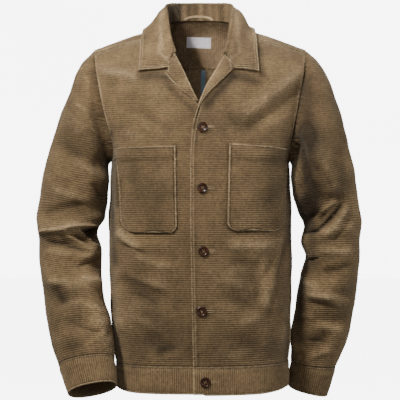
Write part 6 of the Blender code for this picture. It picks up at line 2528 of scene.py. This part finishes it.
def build_backdrop():
    """White room round the set, seen behind the garment but casting no light."""
    shape = bmesh.new()
    bmesh.ops.create_icosphere(shape, subdivisions=5, radius=BACKDROP_RADIUS)
    mesh = bpy.data.meshes.new("backdrop")
    shape.to_mesh(mesh)
    shape.free()
    graph = Graph("studio_backdrop")
    clouds = graph.spread(graph.noise(0.4), 0.3, 0.7, 0.0, 1.0)
    tint = graph.mix(clouds, (0.97, 0.97, 0.97), (1.0, 1.0, 1.0))
    graph.shade("Base Color", tint)
    graph.shade("Emission Color", tint)
    graph.shade("Emission Strength", BACKDROP_GLOW)
    mesh.materials.append(graph.material)
    dome = placed("backdrop", mesh)
    dome.visible_diffuse = False
    dome.visible_glossy = False
    dome.visible_shadow = False


def build_floor():
    """Floor below the garment, seen but casting no light on it."""
    mesh = bpy.data.meshes.new("floor")
    corners = [(-1, -1), (1, -1), (1, 1), (-1, 1)]
    mesh.from_pydata([(x * FLOOR_REACH, y * FLOOR_REACH, FLOOR_Z) for x, y in corners],
                     [], [(0, 1, 2, 3)])
    mesh.materials.append(floor_finish())
    floor = placed("floor", mesh)
    floor.visible_diffuse = False
    floor.visible_glossy = False


def build_studio():
    """Floor, backdrop, lamps, sky and the photo's camera."""
    build_floor()
    build_backdrop()
    for name, (place, target, size, power, spread, colour) in LAMPS.items():
        lamp = bpy.data.lights.new(name, "AREA")
        lamp.shape = "DISK"
        lamp.size = size
        lamp.energy = power
        lamp.color = colour
        lamp.spread = math.radians(spread)
        holder = placed(name, lamp)
        holder.location = place
        aim = Vector(target) - Vector(place)
        holder.rotation_euler = aim.to_track_quat("-Z", "Y").to_euler()
    world = bpy.data.worlds.new("studio")
    world.use_nodes = True
    sky = world.node_tree.nodes["Background"]
    sky.inputs["Color"].default_value = (*SKY, 1.0)
    sky.inputs["Strength"].default_value = SKY_STRENGTH
    bpy.context.scene.world = world
    lens = bpy.data.cameras.new("photo_view")
    lens.sensor_fit = "AUTO"
    lens.angle = 2 * math.atan(FRAME_HALF / CAMERA_DISTANCE)
    camera = placed("photo_view", lens)
    camera.location = (0.0, -CAMERA_DISTANCE, FRAME_MIDDLE)
    camera.rotation_euler = (math.radians(90), 0.0, 0.0)
    bpy.context.scene.camera = camera


def main():
    """Build the studio and the jacket."""
    make_finishes()
    build_studio()
    fronts, reliefs = build_fronts()
    backs = build_backs()
    yoke = build_yoke()
    lining = build_yoke_lining()
    build_sleeves()
    build_cuffs()
    band = build_waistband()
    build_pockets(reliefs)
    build_lapels()
    body = surface_tree(*fronts.values(), yoke, mirrored(yoke, -1), *backs.values())
    build_collar(body)
    build_hanger_loop()
    build_label(lining)
    build_seam_tape()
    build_buttons(reliefs, band)
    build_stitches()


main()
